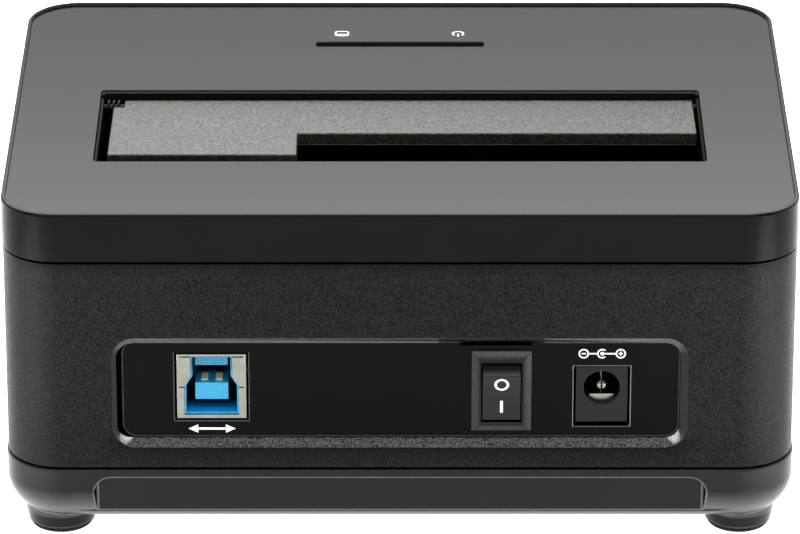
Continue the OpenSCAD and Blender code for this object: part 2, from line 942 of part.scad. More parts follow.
spring_least = min([
  for (i = [0:spring_rings - 1], j = [0:spring_rings - 1])
    if (j - i > coil_rings / 2) norm(spring_path[i][0] - spring_path[j][0]) - 2 * wire_r
]);
echo(spring_least_gap = spring_least);

module door_spring() {
  color("silver")
    translate([0, hinge_y, hinge_z])
      polyhedron(spring_points, concat(spring_sides, spring_ends));
}

// Clear bar in the light slot
module light_bar() {
  bar_x = light_len - 2 * set_gap;
  bar_y = light_w - 2 * set_gap;
  bar_low = plate_low - light_stem;
  color("black")
    union() {
      translate([0, light_y, bar_low])
        linear_extrude(plate_top - light_sub - bar_low)
          round_rect(bar_x, bar_y, bar_y / 4);
      translate([0, light_y, plate_low - light_flange_t / 2])
        cube([bar_x + 2 * light_flange_x, bar_y + 2 * light_flange_y, light_flange_t],
          center = true);
    }
}

module led_board() {
  color("green")
    difference() {
      translate([0, light_y, led_board_top - led_board_t / 2])
        cube([led_board_w, led_board_d, led_board_t], center = true);
      for (s = [-1, 1])
        post(s * led_boss_x, light_y, led_screw_r + pass_gap,
          led_board_top - led_board_t - cut, led_board_top + cut);
    }
}

module led(x) {
  color("white")
    translate([x, light_y, led_board_top + led_size[2] / 2])
      cube(led_size, center = true);
}

// Plug on the main board and the cable that rises from it to the light board
module led_plug() {
  color("ivory")
    rear_box(plug_x, from_rear(plug_q) + plug_size[1] / 2, pcb_top, plug_size);
}

// Quarter bend of a wire in the plane across X; quarter 0 runs from +Y round to +Z
module bend(x, y, z, r_bend, r_wire, quarter) {
  translate([x, y, z])
    rotate([90, 0, 90])
      rotate([0, 0, quarter * 90])
        rotate_extrude(angle = 90)
          translate([r_bend, 0])
            circle(r_wire);
}

module cable_core(x) {
  y_high = light_y + cable_in;
  y_low = from_rear(plug_q);
  z_high = led_board_top - led_board_t;
  z_low = pcb_top + plug_size[2];
  z_mid = z_low + cable_rise;
  post(x, y_high, cable_r, z_mid + cable_bend, z_high);
  bend(x, y_high + cable_bend, z_mid + cable_bend, cable_bend, cable_r, 2);
  translate([x, y_low - cable_bend, z_mid])
    rotate([90, 0, 0])
      cylinder(r = cable_r, h = y_low - y_high - 2 * cable_bend);
  bend(x, y_low - cable_bend, z_mid - cable_bend, cable_bend, cable_r, 0);
  post(x, y_low, cable_r, z_low, z_mid - cable_bend);
}

module led_cable() {
  color("gray")
    for (k = [-1, 0, 1])
      cable_core(plug_x + k * cable_pitch);
}

module main_pcb() {
  color("darkgreen")
    difference() {
      translate([-pcb_w / 2, from_rear(pcb_front_q), pcb_low])
        cube([pcb_w, pcb_front_q - pcb_rear_q, pcb_t]);
      translate([switch_x - notch_half, from_rear(notch_q), pcb_low - cut])
        cube([2 * notch_half, notch_q, pcb_t + 2 * cut]);
      at_pcb_holes()
        post(0, 0, screw_r + pass_gap, pcb_low - cut, pcb_top + cut);
    }
}

// Drive connector with its two keyed slots
sata_slots_len = sata_power_len + sata_between + sata_signal_len;
sata_power_x = sata_x - sata_slots_len / 2;
sata_signal_x = sata_power_x + sata_power_len + sata_between;
sata_top = pcb_top + sata_size[2];

module keyed_slot(x, len) {
  translate([x, sata_y - sata_slot_w / 2, sata_top - sata_slot_d])
    cube([len, sata_slot_w, sata_slot_d + cut]);
  translate([x, sata_y - sata_slot_w / 2 - sata_key_d, sata_top - sata_slot_d])
    cube([sata_key_w, sata_slot_w + sata_key_d, sata_slot_d + cut]);
}

module sata_connector() {
  color("black")
    difference() {
      translate([sata_x, sata_y, pcb_top + sata_size[2] / 2])
        cube(sata_size, center = true);
      keyed_slot(sata_power_x, sata_power_len);
      keyed_slot(sata_signal_x, sata_signal_len);
    }
}

module sata_contacts(x, len, count) {
  first = x + len - sata_step * count + sata_step / 2;
  y = sata_y + sata_slot_w / 2;
  color("gold")
    for (k = [0:count - 1])
      rear_box(first + k * sata_step, y, sata_top - sata_slot_d, sata_blade);
}

module sata_signal_contacts() {
  sata_contacts(sata_signal_x, sata_signal_len, sata_signal_count);
}

module sata_power_contacts() {
  sata_contacts(sata_power_x, sata_power_len, sata_power_count);
}

// Data port: metal shell, blue insulator and contacts
module mouth_cut(len, grow) {
  half_low = usb_half_low + grow;
  half_up = usb_half_up + grow;
  low = usb_mouth_low - grow;
  top = usb_mouth_top + grow;
  translate([usb_x, usb_y + cut, usb_low])
    rotate([90, 0, 0])
      linear_extrude(len + cut)
        polygon([
          [-half_low, low], [half_low, low], [half_low, usb_step_low], [half_up, usb_step_up],
          [half_up, top], [-half_up, top], [-half_up, usb_step_up], [-half_low, usb_step_low]
        ]);
}

// Slits that part the shell's front flanges from each other and from its top
module flange_slits() {
  inner_w = usb_w - 2 * usb_wall;
  for (z = [usb_slit_z, usb_h - usb_wall - usb_slit])
    rear_box(usb_x, usb_y + cut, usb_low + z, [inner_w, usb_wall + 2 * cut, usb_slit]);
}

module usb_shell() {
  inner = [usb_w - 2 * usb_wall, usb_len, usb_h - 2 * usb_wall];
  foot = [2 * usb_wall, usb_foot_len, usb_foot + sink];
  color("silver")
    difference() {
      union() {
        rear_box(usb_x, usb_y, usb_low, [usb_w, usb_len, usb_h]);
        for (s = [-1, 1])
          rear_box(usb_x + s * (usb_w / 2 - usb_wall), usb_y - usb_len / 2, pcb_top, foot);
      }
      rear_box(usb_x, usb_y - usb_wall, usb_low + usb_wall, inner);
      mouth_cut(usb_wall + cut, usb_lip);
      flange_slits();
    }
}

module usb_insulator() {
  less = 2 * (usb_wall + usb_fit);
  block = [usb_w - less, usb_len - usb_wall - usb_back_gap, usb_h - less];
  tongue_len = usb_cavity - usb_tongue_in + sink;
  tongue_y = usb_y - usb_wall - usb_tongue_in;
  color("deepskyblue") {
    difference() {
      rear_box(usb_x, usb_y - usb_wall - usb_fit, usb_low + usb_wall + usb_fit, block);
      mouth_cut(usb_wall + usb_cavity, 0);
    }
    rear_box(usb_x, tongue_y, usb_low + usb_tongue_z, [usb_tongue[0], tongue_len, usb_tongue[1]]);
    rear_box(usb_x, tongue_y, usb_low + usb_upper_z,
      [usb_upper_tongue[0], tongue_len, usb_upper_tongue[1]]);
  }
}

module usb_contacts() {
  deep = usb_y - usb_wall - usb_cavity;
  color("gold") {
    for (s = [-1, 1], level = [usb_tongue_z - usb_contact[2], usb_tongue_z + usb_tongue[1]])
      rear_box(usb_x + s * usb_contact_x, deep + usb_contact[1], usb_low + level, usb_contact);
    for (k = [-usb_fine_side:usb_fine_side])
      rear_box(usb_x + k * usb_fine_step, deep + usb_fine_contact[1],
        usb_low + usb_upper_z - usb_fine_contact[2], usb_fine_contact);
  }
}

// Power jack: moulded body, centre pin and side leaf
module dc_jack_body() {
  hole_z = pcb_top + jack_hole_z;
  color("black")
    difference() {
      rear_box(jack_x, jack_y, pcb_top, [jack_w, jack_len, jack_h]);
      rod_y(jack_x, hole_z, jack_hole_r, jack_y + cut, jack_hole_len + cut);
      rod_y(jack_x, hole_z, jack_pin_r + grip_gap, jack_y + cut,
        jack_hole_len + cut + jack_pin_root);
    }
}

module dc_jack_pin() {
  slit = 0.3;
  hole_z = pcb_top + jack_hole_z;
  long = jack_pin_len + jack_pin_root;
  front = jack_y - jack_hole_len + jack_pin_len;
  color("silver")
    difference() {
      translate([jack_x, front - long, hole_z])
        rotate([-90, 0, 0])
          rotate_extrude()
            half_section(jack_pin_r, long, 0, jack_pin_round);
      rear_box(jack_x, front + cut, hole_z - 2 * jack_pin_r,
        [slit, jack_pin_len / 2 + cut, 4 * jack_pin_r]);
    }
}

module dc_jack_leaf() {
  hole_z = pcb_top + jack_hole_z;
  outer_r = jack_hole_r - leaf_gap;
  front = jack_y - jack_hole_len + leaf_len;
  color("silver") {
    rear_box(jack_x, front - sink, hole_z - leaf_down - leaf_t, [leaf_w, leaf_len - sink, leaf_t]);
    intersection() {
      rod_y(jack_x, hole_z, outer_r, front, leaf_t);
      rear_box(jack_x, front + cut, hole_z - leaf_down - 2 * jack_hole_r,
        [leaf_w, leaf_t + 2 * cut, 2 * jack_hole_r]);
    }
  }
}

// Power switch
pivot_y = panel_y - rocker_pivot_in;

module bezel() {
  half_w = bezel_w / 2;
  half_h = bezel_h / 2;
  translate([switch_x, panel_y, switch_z])
    intersection() {
      rotate([90, 0, 90])
        translate([0, 0, -half_w])
          linear_extrude(bezel_w)
            polygon([[0, -half_h], [bezel_edge, -half_h], [bezel_t, bezel_slope - half_h],
              [bezel_t, half_h - bezel_slope], [bezel_edge, half_h], [0, half_h]]);
      translate([0, 0, -half_h])
        linear_extrude(bezel_h)
          polygon([[-half_w, 0], [-half_w, bezel_edge], [bezel_slope - half_w, bezel_t],
            [half_w - bezel_slope, bezel_t], [half_w, bezel_edge], [half_w, 0]]);
    }
}

module switch_housing() {
  pin_reach = switch_hole_w / 2 + rocker_pin_len + turn_gap;
  color("black")
    difference() {
      union() {
        bezel();
        rear_box(switch_x, panel_y + sink, switch_z - switch_body_h / 2,
          [switch_body_w, switch_body_len + sink, switch_body_h]);
      }
      rear_box(switch_x, panel_y + bezel_t + cut, switch_z - switch_hole_h / 2,
        [switch_hole_w, switch_hole_len + bezel_t + cut, switch_hole_h]);
      rod_x(pivot_y, switch_z, rocker_pin_r + turn_gap, switch_x - pin_reach, switch_x + pin_reach);
      for (up = [0, load_up])
        rear_box(switch_x, panel_y - switch_hole_len + cut, switch_z + up - terminal_t / 2,
          [terminal_w, switch_body_len + cut, terminal_t]);
    }
}

module switch_rocker() {
  half_span = (switch_hole_w - rocker_w) / 2 + rocker_pin_len - turn_gap;
  color("dimgray")
    translate([switch_x, pivot_y, switch_z])
      rotate([-rocker_angle, 0, 0])
        difference() {
          union() {
            rotate([90, 0, 90])
              translate([0, 0, -rocker_w / 2])
                linear_extrude(rocker_w)
                  difference() {
                    intersection() {
                      circle(rocker_r);
                      translate([-rocker_back, -rocker_r])
                        square([rocker_back + rocker_face, 2 * rocker_r]);
                    }
                    translate([rocker_face - rocker_dish + rocker_dish_r, 0])
                      circle(rocker_dish_r);
                  }
            rod_x(0, 0, rocker_pin_r, -rocker_w / 2 - half_span, rocker_w / 2 + half_span);
          }
          rod_y(0, 0, plunger_r + grip_gap, -rocker_back + rocker_back / 2, rocker_back);
        }
}

module switch_plunger() {
  color("ivory")
    translate([switch_x, pivot_y, switch_z])
      rotate([-rocker_angle, 0, 0]) {
        rod_y(0, 0, plunger_r, -rocker_back / 2, plunger_tip - plunger_r - rocker_back / 2);
        translate([0, plunger_r - plunger_tip, 0])
          sphere(r = plunger_r);
      }
}

module switch_blade() {
  color("goldenrod")
    translate([switch_x, panel_y - blade_axis_in, switch_z])
      rotate([blade_tilt, 0, 0])
        cube([blade_w, blade_t, 2 * blade_half], center = true);
}

// Terminal blade from its inner contact to its tail behind the housing
module switch_terminal(up, top) {
  color("goldenrod")
    rear_box(switch_x, panel_y - top, switch_z + up - terminal_t / 2,
      [terminal_w, terminal_end - top, terminal_t]);
}

// Wire from a terminal down to the board
module switch_wire(up, side) {
  x = switch_x + side * wire_apart;
  y = panel_y - terminal_end;
  z = switch_z + up;
  color(side < 0 ? "red" : "black") {
    bend(x, y, z - wire_bend, wire_bend, wire_cover_r, 1);
    post(x, y - wire_bend, wire_cover_r, pcb_top, z - wire_bend);
  }
}

// Plain chip, placed by its middle across and its distance from the rear edge
module chip(at, size) {
  color("darkslategray")
    rear_box(at[0], from_rear(at[1]) + size[1] / 2, pcb_top, size);
}

module power_inductor() {
  x = inductor_at[0];
  y = from_rear(inductor_at[1]);
  size = inductor_size;
  color("gray") {
    rear_box(x, y + size[1] / 2, pcb_top, [size[0], size[1], inductor_foot]);
    post(x, y, inductor_core_r, pcb_top + inductor_foot - sink, pcb_top + size[2]);
  }
}

module bulk_cap(i) {
  x = cap_at[i][0];
  y = from_rear(cap_at[i][1]);
  color("silver")
    post(x, y, cap_r, pcb_top + cap_base[1] - sink, pcb_top + cap_h);
  color("black")
    rear_box(x, y + cap_base[0] / 2, pcb_top, [cap_base[0], cap_base[0], cap_base[1]]);
}

module crystal() {
  x = crystal_at[0];
  y = from_rear(crystal_at[1]) + crystal_size[1] / 2;
  flange = crystal_flange;
  grow = [2 * flange[1], 2 * flange[1], 0];
  color("silver") {
    rear_box(x, y, pcb_top, crystal_size);
    rear_box(x, y + flange[1], pcb_top, [crystal_size[0], crystal_size[1], flange[0]] + grow);
  }
}

// Screws
module base_screws() {
  seat = pad_t + pad_seat + head_sink;
  color("silver")
    at_feet()
      screw_up(0, 0, screw_r, screw_head_r, screw_head_h, seat, post_low + post_bite);
}

module cover_screws() {
  color("silver")
    at_lugs()
      screw_up(0, 0, screw_r, screw_head_r, screw_head_h, lug_top - lug_t, lug_top + lug_bite);
}

module well_screws() {
  color("silver")
    for (site = ear_sites)
      screw_up(site[0], site[1], screw_r, screw_head_r, screw_head_h, ear_top - ear_t,
        ear_top + ear_bite - bore_spare);
}

module pcb_screws() {
  color("silver")
    at_pcb_holes()
      mirror([0, 0, 1])
        screw_up(0, 0, screw_r, screw_head_r, screw_head_h, -pcb_top, -pcb_low + pcb_bite);
}

module led_screws() {
  color("silver")
    for (s = [-1, 1])
      screw_up(s * led_boss_x, light_y, led_screw_r, led_head_r, led_head_h,
        led_board_top - led_board_t, led_board_top + led_bite);
}

top_cover();
body_shell();
rear_panel();
base_tray();
for (i = [0:3])
  foot_pad(i);
drive_well();
slot_door();
hinge_pin();
door_spring();
light_bar();
led_board();
led(-led_x);  // power_led
led(led_x);  // activity_led
led_plug();
led_cable();
main_pcb();
sata_connector();
sata_signal_contacts();
sata_power_contacts();
usb_shell();
usb_insulator();
usb_contacts();
dc_jack_body();
dc_jack_pin();
dc_jack_leaf();
switch_housing();
switch_rocker();
switch_plunger();
switch_blade();
switch_terminal(0, common_top);  // switch_terminal_common
switch_terminal(load_up, load_top);  // switch_terminal_load
switch_wire(0, -1);  // switch_wire_1
switch_wire(load_up, 1);  // switch_wire_2
chip(bridge_at, bridge_size);  // bridge_chip
chip(flash_at, flash_size);  // flash_chip
chip(power_at, power_size);  // power_chip
power_inductor();
for (i = [0, 1])
  bulk_cap(i);
crystal();
base_screws();
cover_screws();
well_screws();
pcb_screws();
led_screws();
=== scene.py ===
"""Looks of a hard drive docking station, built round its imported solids.

The camera stands behind the dock, as in the photograph. Places are in metres in the
frame of the solids: X runs across, Y from the front to the rear panel and Z up.
"""
import json
import math

import bmesh
import bpy
from mathutils import Matrix, Vector


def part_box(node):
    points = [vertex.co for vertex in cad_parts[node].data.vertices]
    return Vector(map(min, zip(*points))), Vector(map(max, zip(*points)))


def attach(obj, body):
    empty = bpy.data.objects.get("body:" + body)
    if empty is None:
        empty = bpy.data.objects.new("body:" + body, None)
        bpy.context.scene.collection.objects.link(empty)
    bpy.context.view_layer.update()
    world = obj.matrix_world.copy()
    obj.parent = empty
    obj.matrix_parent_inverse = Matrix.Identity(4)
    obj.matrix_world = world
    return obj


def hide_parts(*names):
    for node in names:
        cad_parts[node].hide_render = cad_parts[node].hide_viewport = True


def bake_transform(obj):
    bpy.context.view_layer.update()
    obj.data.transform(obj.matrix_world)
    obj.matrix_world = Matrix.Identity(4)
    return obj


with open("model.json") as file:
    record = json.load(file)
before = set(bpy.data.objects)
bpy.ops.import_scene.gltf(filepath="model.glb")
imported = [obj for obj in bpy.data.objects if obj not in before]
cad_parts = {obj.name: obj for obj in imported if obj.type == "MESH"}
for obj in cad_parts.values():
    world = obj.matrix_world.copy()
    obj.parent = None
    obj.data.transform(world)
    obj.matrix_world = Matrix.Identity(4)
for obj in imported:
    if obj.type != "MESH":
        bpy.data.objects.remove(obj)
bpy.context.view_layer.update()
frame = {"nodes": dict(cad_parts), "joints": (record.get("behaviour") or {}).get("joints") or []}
nodes = frame["nodes"]
joints = {joint["name"]: joint for joint in frame["joints"]}
scene = bpy.context.scene
MM = 0.001

# Places on the solids
PANEL_LOW, PANEL_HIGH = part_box("rear_panel")
PANEL_MIDDLE = (PANEL_LOW + PANEL_HIGH) / 2
PANEL_Y = PANEL_HIGH.y
LIGHT_LOW, LIGHT_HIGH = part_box("light_bar")
LIGHT_SUNK = 0.15 * MM
PLATE_Z = LIGHT_HIGH.z + LIGHT_SUNK
JACK_LOW, JACK_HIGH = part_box("dc_jack_body")
PORT_LOW, PORT_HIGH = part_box("usb_shell")
HINGE = Vector(joints["door_hinge"]["pos_m"])
ROCKER_PIVOT = Vector(joints["rocker_tilt"]["pos_m"])
WEAR_X = (-55 * MM, 30 * MM)
WEAR_Y = (HINGE.y + MM, HINGE.y + 11 * MM)
BODY_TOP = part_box("body_shell")[1].z
COVER_LOW = 54.2 * MM
BASE_TOP = 14.6 * MM
BASE_LOW = 3.3 * MM
WINDOW_HALF = (48.5 * MM, 8.95 * MM)
WINDOW_R = 2.5 * MM
WINDOW_LOW = (-WINDOW_HALF[0], PANEL_MIDDLE.z - WINDOW_HALF[1])
WINDOW_HIGH = (WINDOW_HALF[0], PANEL_MIDDLE.z + WINDOW_HALF[1])
BEVEL_W = 1.5 * MM
# Width of the painted shade beside the panel, and the plate outline and its painted highlight line
GAP_W = 0.65 * MM
PLATE_LOW = (WINDOW_LOW[0] + 0.1 * MM, WINDOW_LOW[1] + 0.18 * MM)
PLATE_HIGH = (WINDOW_HIGH[0] - 0.4 * MM, WINDOW_HIGH[1] + 0.5 * MM)
LINE_W = 0.22 * MM
# Hole of the bezel, painted black as shade
HOLE_HALF = (3.5 * MM, 5.64 * MM)
# Band over the switch with painted light, and the hollow inside it with painted shade
RELIEF_X = -15.85 * MM
RELIEF_W = 18.3 * MM
HOLLOW_X = -16.6 * MM
HOLLOW_W = 12.6 * MM
HOLLOW_DROP = 0.4 * MM
WELL_END = 53.1 * MM
END_FADE = 0.4 * MM
# Widths of the painted shade in the seams, under the lid and below the panel
COVER_SEAM = 0.05 * MM
BODY_SEAM = 0.12 * MM
SEAM_SHADE = 2.5 * MM
WINDOW_SHADE = 3 * MM
# Top of the base edge, where its painted highlight is dimmer
EDGE_DROP = 0.6 * MM
# Heights and depths inside the data port, with painted shade in its depth
PORT_FLOOR = PORT_HIGH.z - 10.9 * MM
PORT_UPPER = PORT_HIGH.z - 3.2 * MM
PORT_DEPTH = (PORT_HIGH.y - 7.5 * MM, PORT_HIGH.y - 4.5 * MM)
FLOOR_DEPTH = (PORT_HIGH.y - 5.5 * MM, PORT_HIGH.y - 2.2 * MM)
# Reaches along the contacts where painted shade darkens them towards their roots
CONTACT_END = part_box("usb_contacts")[1].y
CONTACT_LIT = 2.2 * MM
CONTACT_DARK = 3.2 * MM

# Camera
CAMERA_AT = Vector((0, 959.8, 458.8)) * MM
CAMERA_PITCH = math.radians(24)
CAMERA_LENS = 261.4
CAMERA_SENSOR = 36


def add_camera():
    data = bpy.data.cameras.new("camera")
    data.lens = CAMERA_LENS
    data.sensor_width = CAMERA_SENSOR
    data.clip_start = 0.01
    data.clip_end = 50
    camera = bpy.data.objects.new("camera", data)
    scene.collection.objects.link(camera)
    camera.location = CAMERA_AT
    look = Vector((0, -math.cos(CAMERA_PITCH), -math.sin(CAMERA_PITCH)))
    camera.rotation_mode = "QUATERNION"
    camera.rotation_quaternion = look.to_track_quat("-Z", "Y")
    scene.camera = camera


# Materials
class Shader:
    """One procedural material, whose nodes are made by short calls."""

    def __init__(self, name):
        self.material = bpy.data.materials.new(name)
        self.material.use_nodes = True
        self.tree = self.material.node_tree
        self.surface = self.tree.nodes["Principled BSDF"]
        place = self.tree.nodes.new("ShaderNodeTexCoord")
        self.place = place.outputs["Object"]
        self.facing = place.outputs["Normal"]

    def join(self, source, target):
        self.tree.links.new(source, target)

    def set(self, **values):
        for key, value in values.items():
            self.surface.inputs[key.replace("_", " ")].default_value = value

    def noise(self, size, detail=2.0, rough=0.5, place=None):
        """Noise whose marks are about that many metres across."""
        node = self.tree.nodes.new("ShaderNodeTexNoise")
        node.inputs["Scale"].default_value = 1 / size
        node.inputs["Detail"].default_value = detail
        node.inputs["Roughness"].default_value = rough
        self.join(place or self.place, node.inputs["Vector"])
        return node.outputs["Fac"]

    def stretch(self, factors):
        """Coordinates scaled by one factor along each axis."""
        node = self.tree.nodes.new("ShaderNodeMapping")
        node.inputs["Scale"].default_value = factors
        self.join(self.place, node.inputs["Vector"])
        return node.outputs["Vector"]

    def parts(self, vector):
        node = self.tree.nodes.new("ShaderNodeSeparateXYZ")
        self.join(vector, node.inputs["Vector"])
        return [node.outputs[axis] for axis in "XYZ"]

    def maths(self, kind, first, second):
        node = self.tree.nodes.new("ShaderNodeMath")
        node.operation = kind
        for socket, value in zip(node.inputs, (first, second)):
            if isinstance(value, float):
                socket.default_value = value
            else:
                self.join(value, socket)
        return node.outputs["Value"]

    def far(self, source, middle):
        """How far a source is from a middle value, either way."""
        return self.maths("ABSOLUTE", self.maths("SUBTRACT", source, middle), 0.0)

    def box_gap(self, low, high, corner):
        """Distance outside a rounded rectangle in X and Z, below 0 inside it."""
        place = self.parts(self.place)
        squares = []
        for axis, start, stop in zip((place[0], place[2]), low, high):
            reach = (stop - start) / 2 - corner
            out = self.maths("SUBTRACT", self.far(axis, (start + stop) / 2), reach)
            out = self.maths("MAXIMUM", out, 0.0)
            squares.append(self.maths("MULTIPLY", out, out))
        length = self.maths("SQRT", self.maths("ADD", *squares), 0.0)
        return self.maths("SUBTRACT", length, corner)

    def band(self, source, middle, width):
        """1 where a source is within a width round a middle value, and 0 elsewhere."""
        return self.maths("LESS_THAN", self.far(source, middle), width / 2)

    def span(self, source, low, high, start=0.3, stop=0.7):
        """A source's values from start to stop, spread from low to high."""
        node = self.tree.nodes.new("ShaderNodeMapRange")
        ends = {"From Min": start, "From Max": stop, "To Min": low, "To Max": high}
        for key, value in ends.items():
            node.inputs[key].default_value = value
        self.join(source, node.inputs["Value"])
        return node.outputs["Result"]

    def ramp(self, source, low, high, start=0.3, stop=0.7):
        """A colour that runs from low to high with a source."""
        node = self.tree.nodes.new("ShaderNodeValToRGB")
        ends = node.color_ramp.elements
        ends[0].position, ends[1].position = start, stop
        ends[0].color, ends[1].color = (*low, 1), (*high, 1)
        self.join(source, node.inputs["Fac"])
        return node.outputs["Color"]

    def mix(self, mask, first, second):
        """The first colour where the mask is 0 and the second where it is 1."""
        node = self.tree.nodes.new("ShaderNodeMixRGB")
        self.join(mask, node.inputs["Fac"])
        self.join(first, node.inputs["Color1"])
        self.join(second, node.inputs["Color2"])
        return node.outputs["Color"]

    def tones(self, source, colour, spread, start=0.3, stop=0.7):
        """A colour that varies with a source, by a share of itself either way."""
        ends = scaled(colour, 1 - spread), scaled(colour, 1 + spread)
        return self.ramp(source, *ends, start, stop)

    def paint(self, colour):
        self.join(colour, self.surface.inputs["Base Color"])

    def shine(self, level):
        self.join(level, self.surface.inputs["Specular IOR Level"])

    def roughness(self, source, low, high):
        self.join(self.span(source, low, high), self.surface.inputs["Roughness"])

    def bump(self, source, depth, under=None):
        """Relief that many metres deep, laid on another normal where one is given."""
        node = self.tree.nodes.new("ShaderNodeBump")
        node.inputs["Distance"].default_value = depth
        self.join(source, node.inputs["Height"])
        if under:
            self.join(under, node.inputs["Normal"])
        self.join(node.outputs["Normal"], self.surface.inputs["Normal"])

    def soft_edges(self, radius):
        """A normal that turns smoothly over every sharp edge."""
        node = self.tree.nodes.new("ShaderNodeBevel")
        node.inputs["Radius"].default_value = radius
        return node.outputs["Normal"]


def grey(value):
    return (value, value, value)


def scaled(colour, factor):
    return tuple(channel * factor for channel in colour)


BLACK = grey(0.0002)
SHADE = 0.8
CLOUD = 9 * MM


def plastic(name, colour, rough, grain, depth, specular=0.5):
    """Moulded plastic with a fine grain, whose tone wanders a little."""
    shader = Shader(name)
    shader.set(Specular_IOR_Level=specular)
    fine = shader.noise(grain, 3, 0.6)
    shader.paint(shader.tones(shader.noise(CLOUD, 3), colour, 0.15))
    shader.roughness(fine, rough * 0.88, rough * 1.12)
    shader.bump(fine, depth)
    return shader.material


def grained(name, colour, rough, grain, depth, specular):
    """Plastic from a spark-eroded mould, with grains that show as light and dark."""
    shader = Shader(name)
    shader.set(Specular_IOR_Level=specular)
    grains = shader.noise(grain, 2, 0.6)
    shader.paint(shader.tones(grains, colour, 0.4, 0.35, 0.65))
    shader.roughness(shader.noise(grain * 2, 2), rough * 0.85, rough * 1.15)
    shader.bump(grains, depth)
    return shader.material


def cover_finish(name, face, edge, specular, soft):
    """Satin plastic, a little lighter with painted light on the far wall of the slot, and black
    with painted shade in the seam.
    """
    shader = Shader(name)
    fine = shader.noise(0.3 * MM, 3, 0.6)
    wall = shader.maths("GREATER_THAN", shader.parts(shader.facing)[1], 0.4)
    _, along, up = shader.parts(shader.place)
    near = shader.maths("LESS_THAN", along, 0.0)
    # Painted shade: black and without shine along the seam at the foot of the cover
    seam = shader.maths("LESS_THAN", up, COVER_LOW + COVER_SEAM)
    black = shader.tones(fine, BLACK, 1.0)
    plain = shader.tones(shader.noise(CLOUD, 3), grey(face), 0.15)
    # Painted light on the far wall of the slot
    light = shader.tones(fine, grey(edge), 0.2)
    tone = shader.mix(shader.maths("MULTIPLY", wall, near), plain, light)
    shader.paint(shader.mix(seam, tone, black))
    gloss = shader.span(seam, specular, 0.0, 0.0, 1.0)
    shader.shine(gloss)
    shader.roughness(fine, 0.15, 0.19)
    shader.bump(fine, 0.0008 * MM, shader.soft_edges(soft))
    return shader.material


def well_finish(name, face, edge):
    """Dull plastic, lighter with painted light on the far rim, and duller at the ends of the well.
    """
    shader = Shader(name)
    fine = shader.noise(0.3 * MM, 3, 0.6)
    across, along, _ = shader.parts(shader.place)
    low_end = shader.span(across, 0.01, 0.05, -WELL_END, -WELL_END + END_FADE)
    high_end = shader.span(across, 1.0, 0.45, WELL_END - END_FADE, WELL_END)
    gloss = shader.maths("MULTIPLY", low_end, high_end)
    shader.shine(gloss)
    # Painted light on the far rim of the well
    rim = shader.maths("GREATER_THAN", shader.parts(shader.facing)[2], 0.5)
    far = shader.maths("LESS_THAN", along, HINGE.y)
    plain = shader.tones(shader.noise(CLOUD, 3), grey(face), 0.15)
    light = shader.tones(fine, grey(edge), 0.2)
    tone = shader.mix(shader.maths("MULTIPLY", rim, far), plain, light)
    shader.paint(tone)
    shader.roughness(fine, 0.44, 0.56)
    shader.bump(fine, 0.003 * MM)
    return shader.material


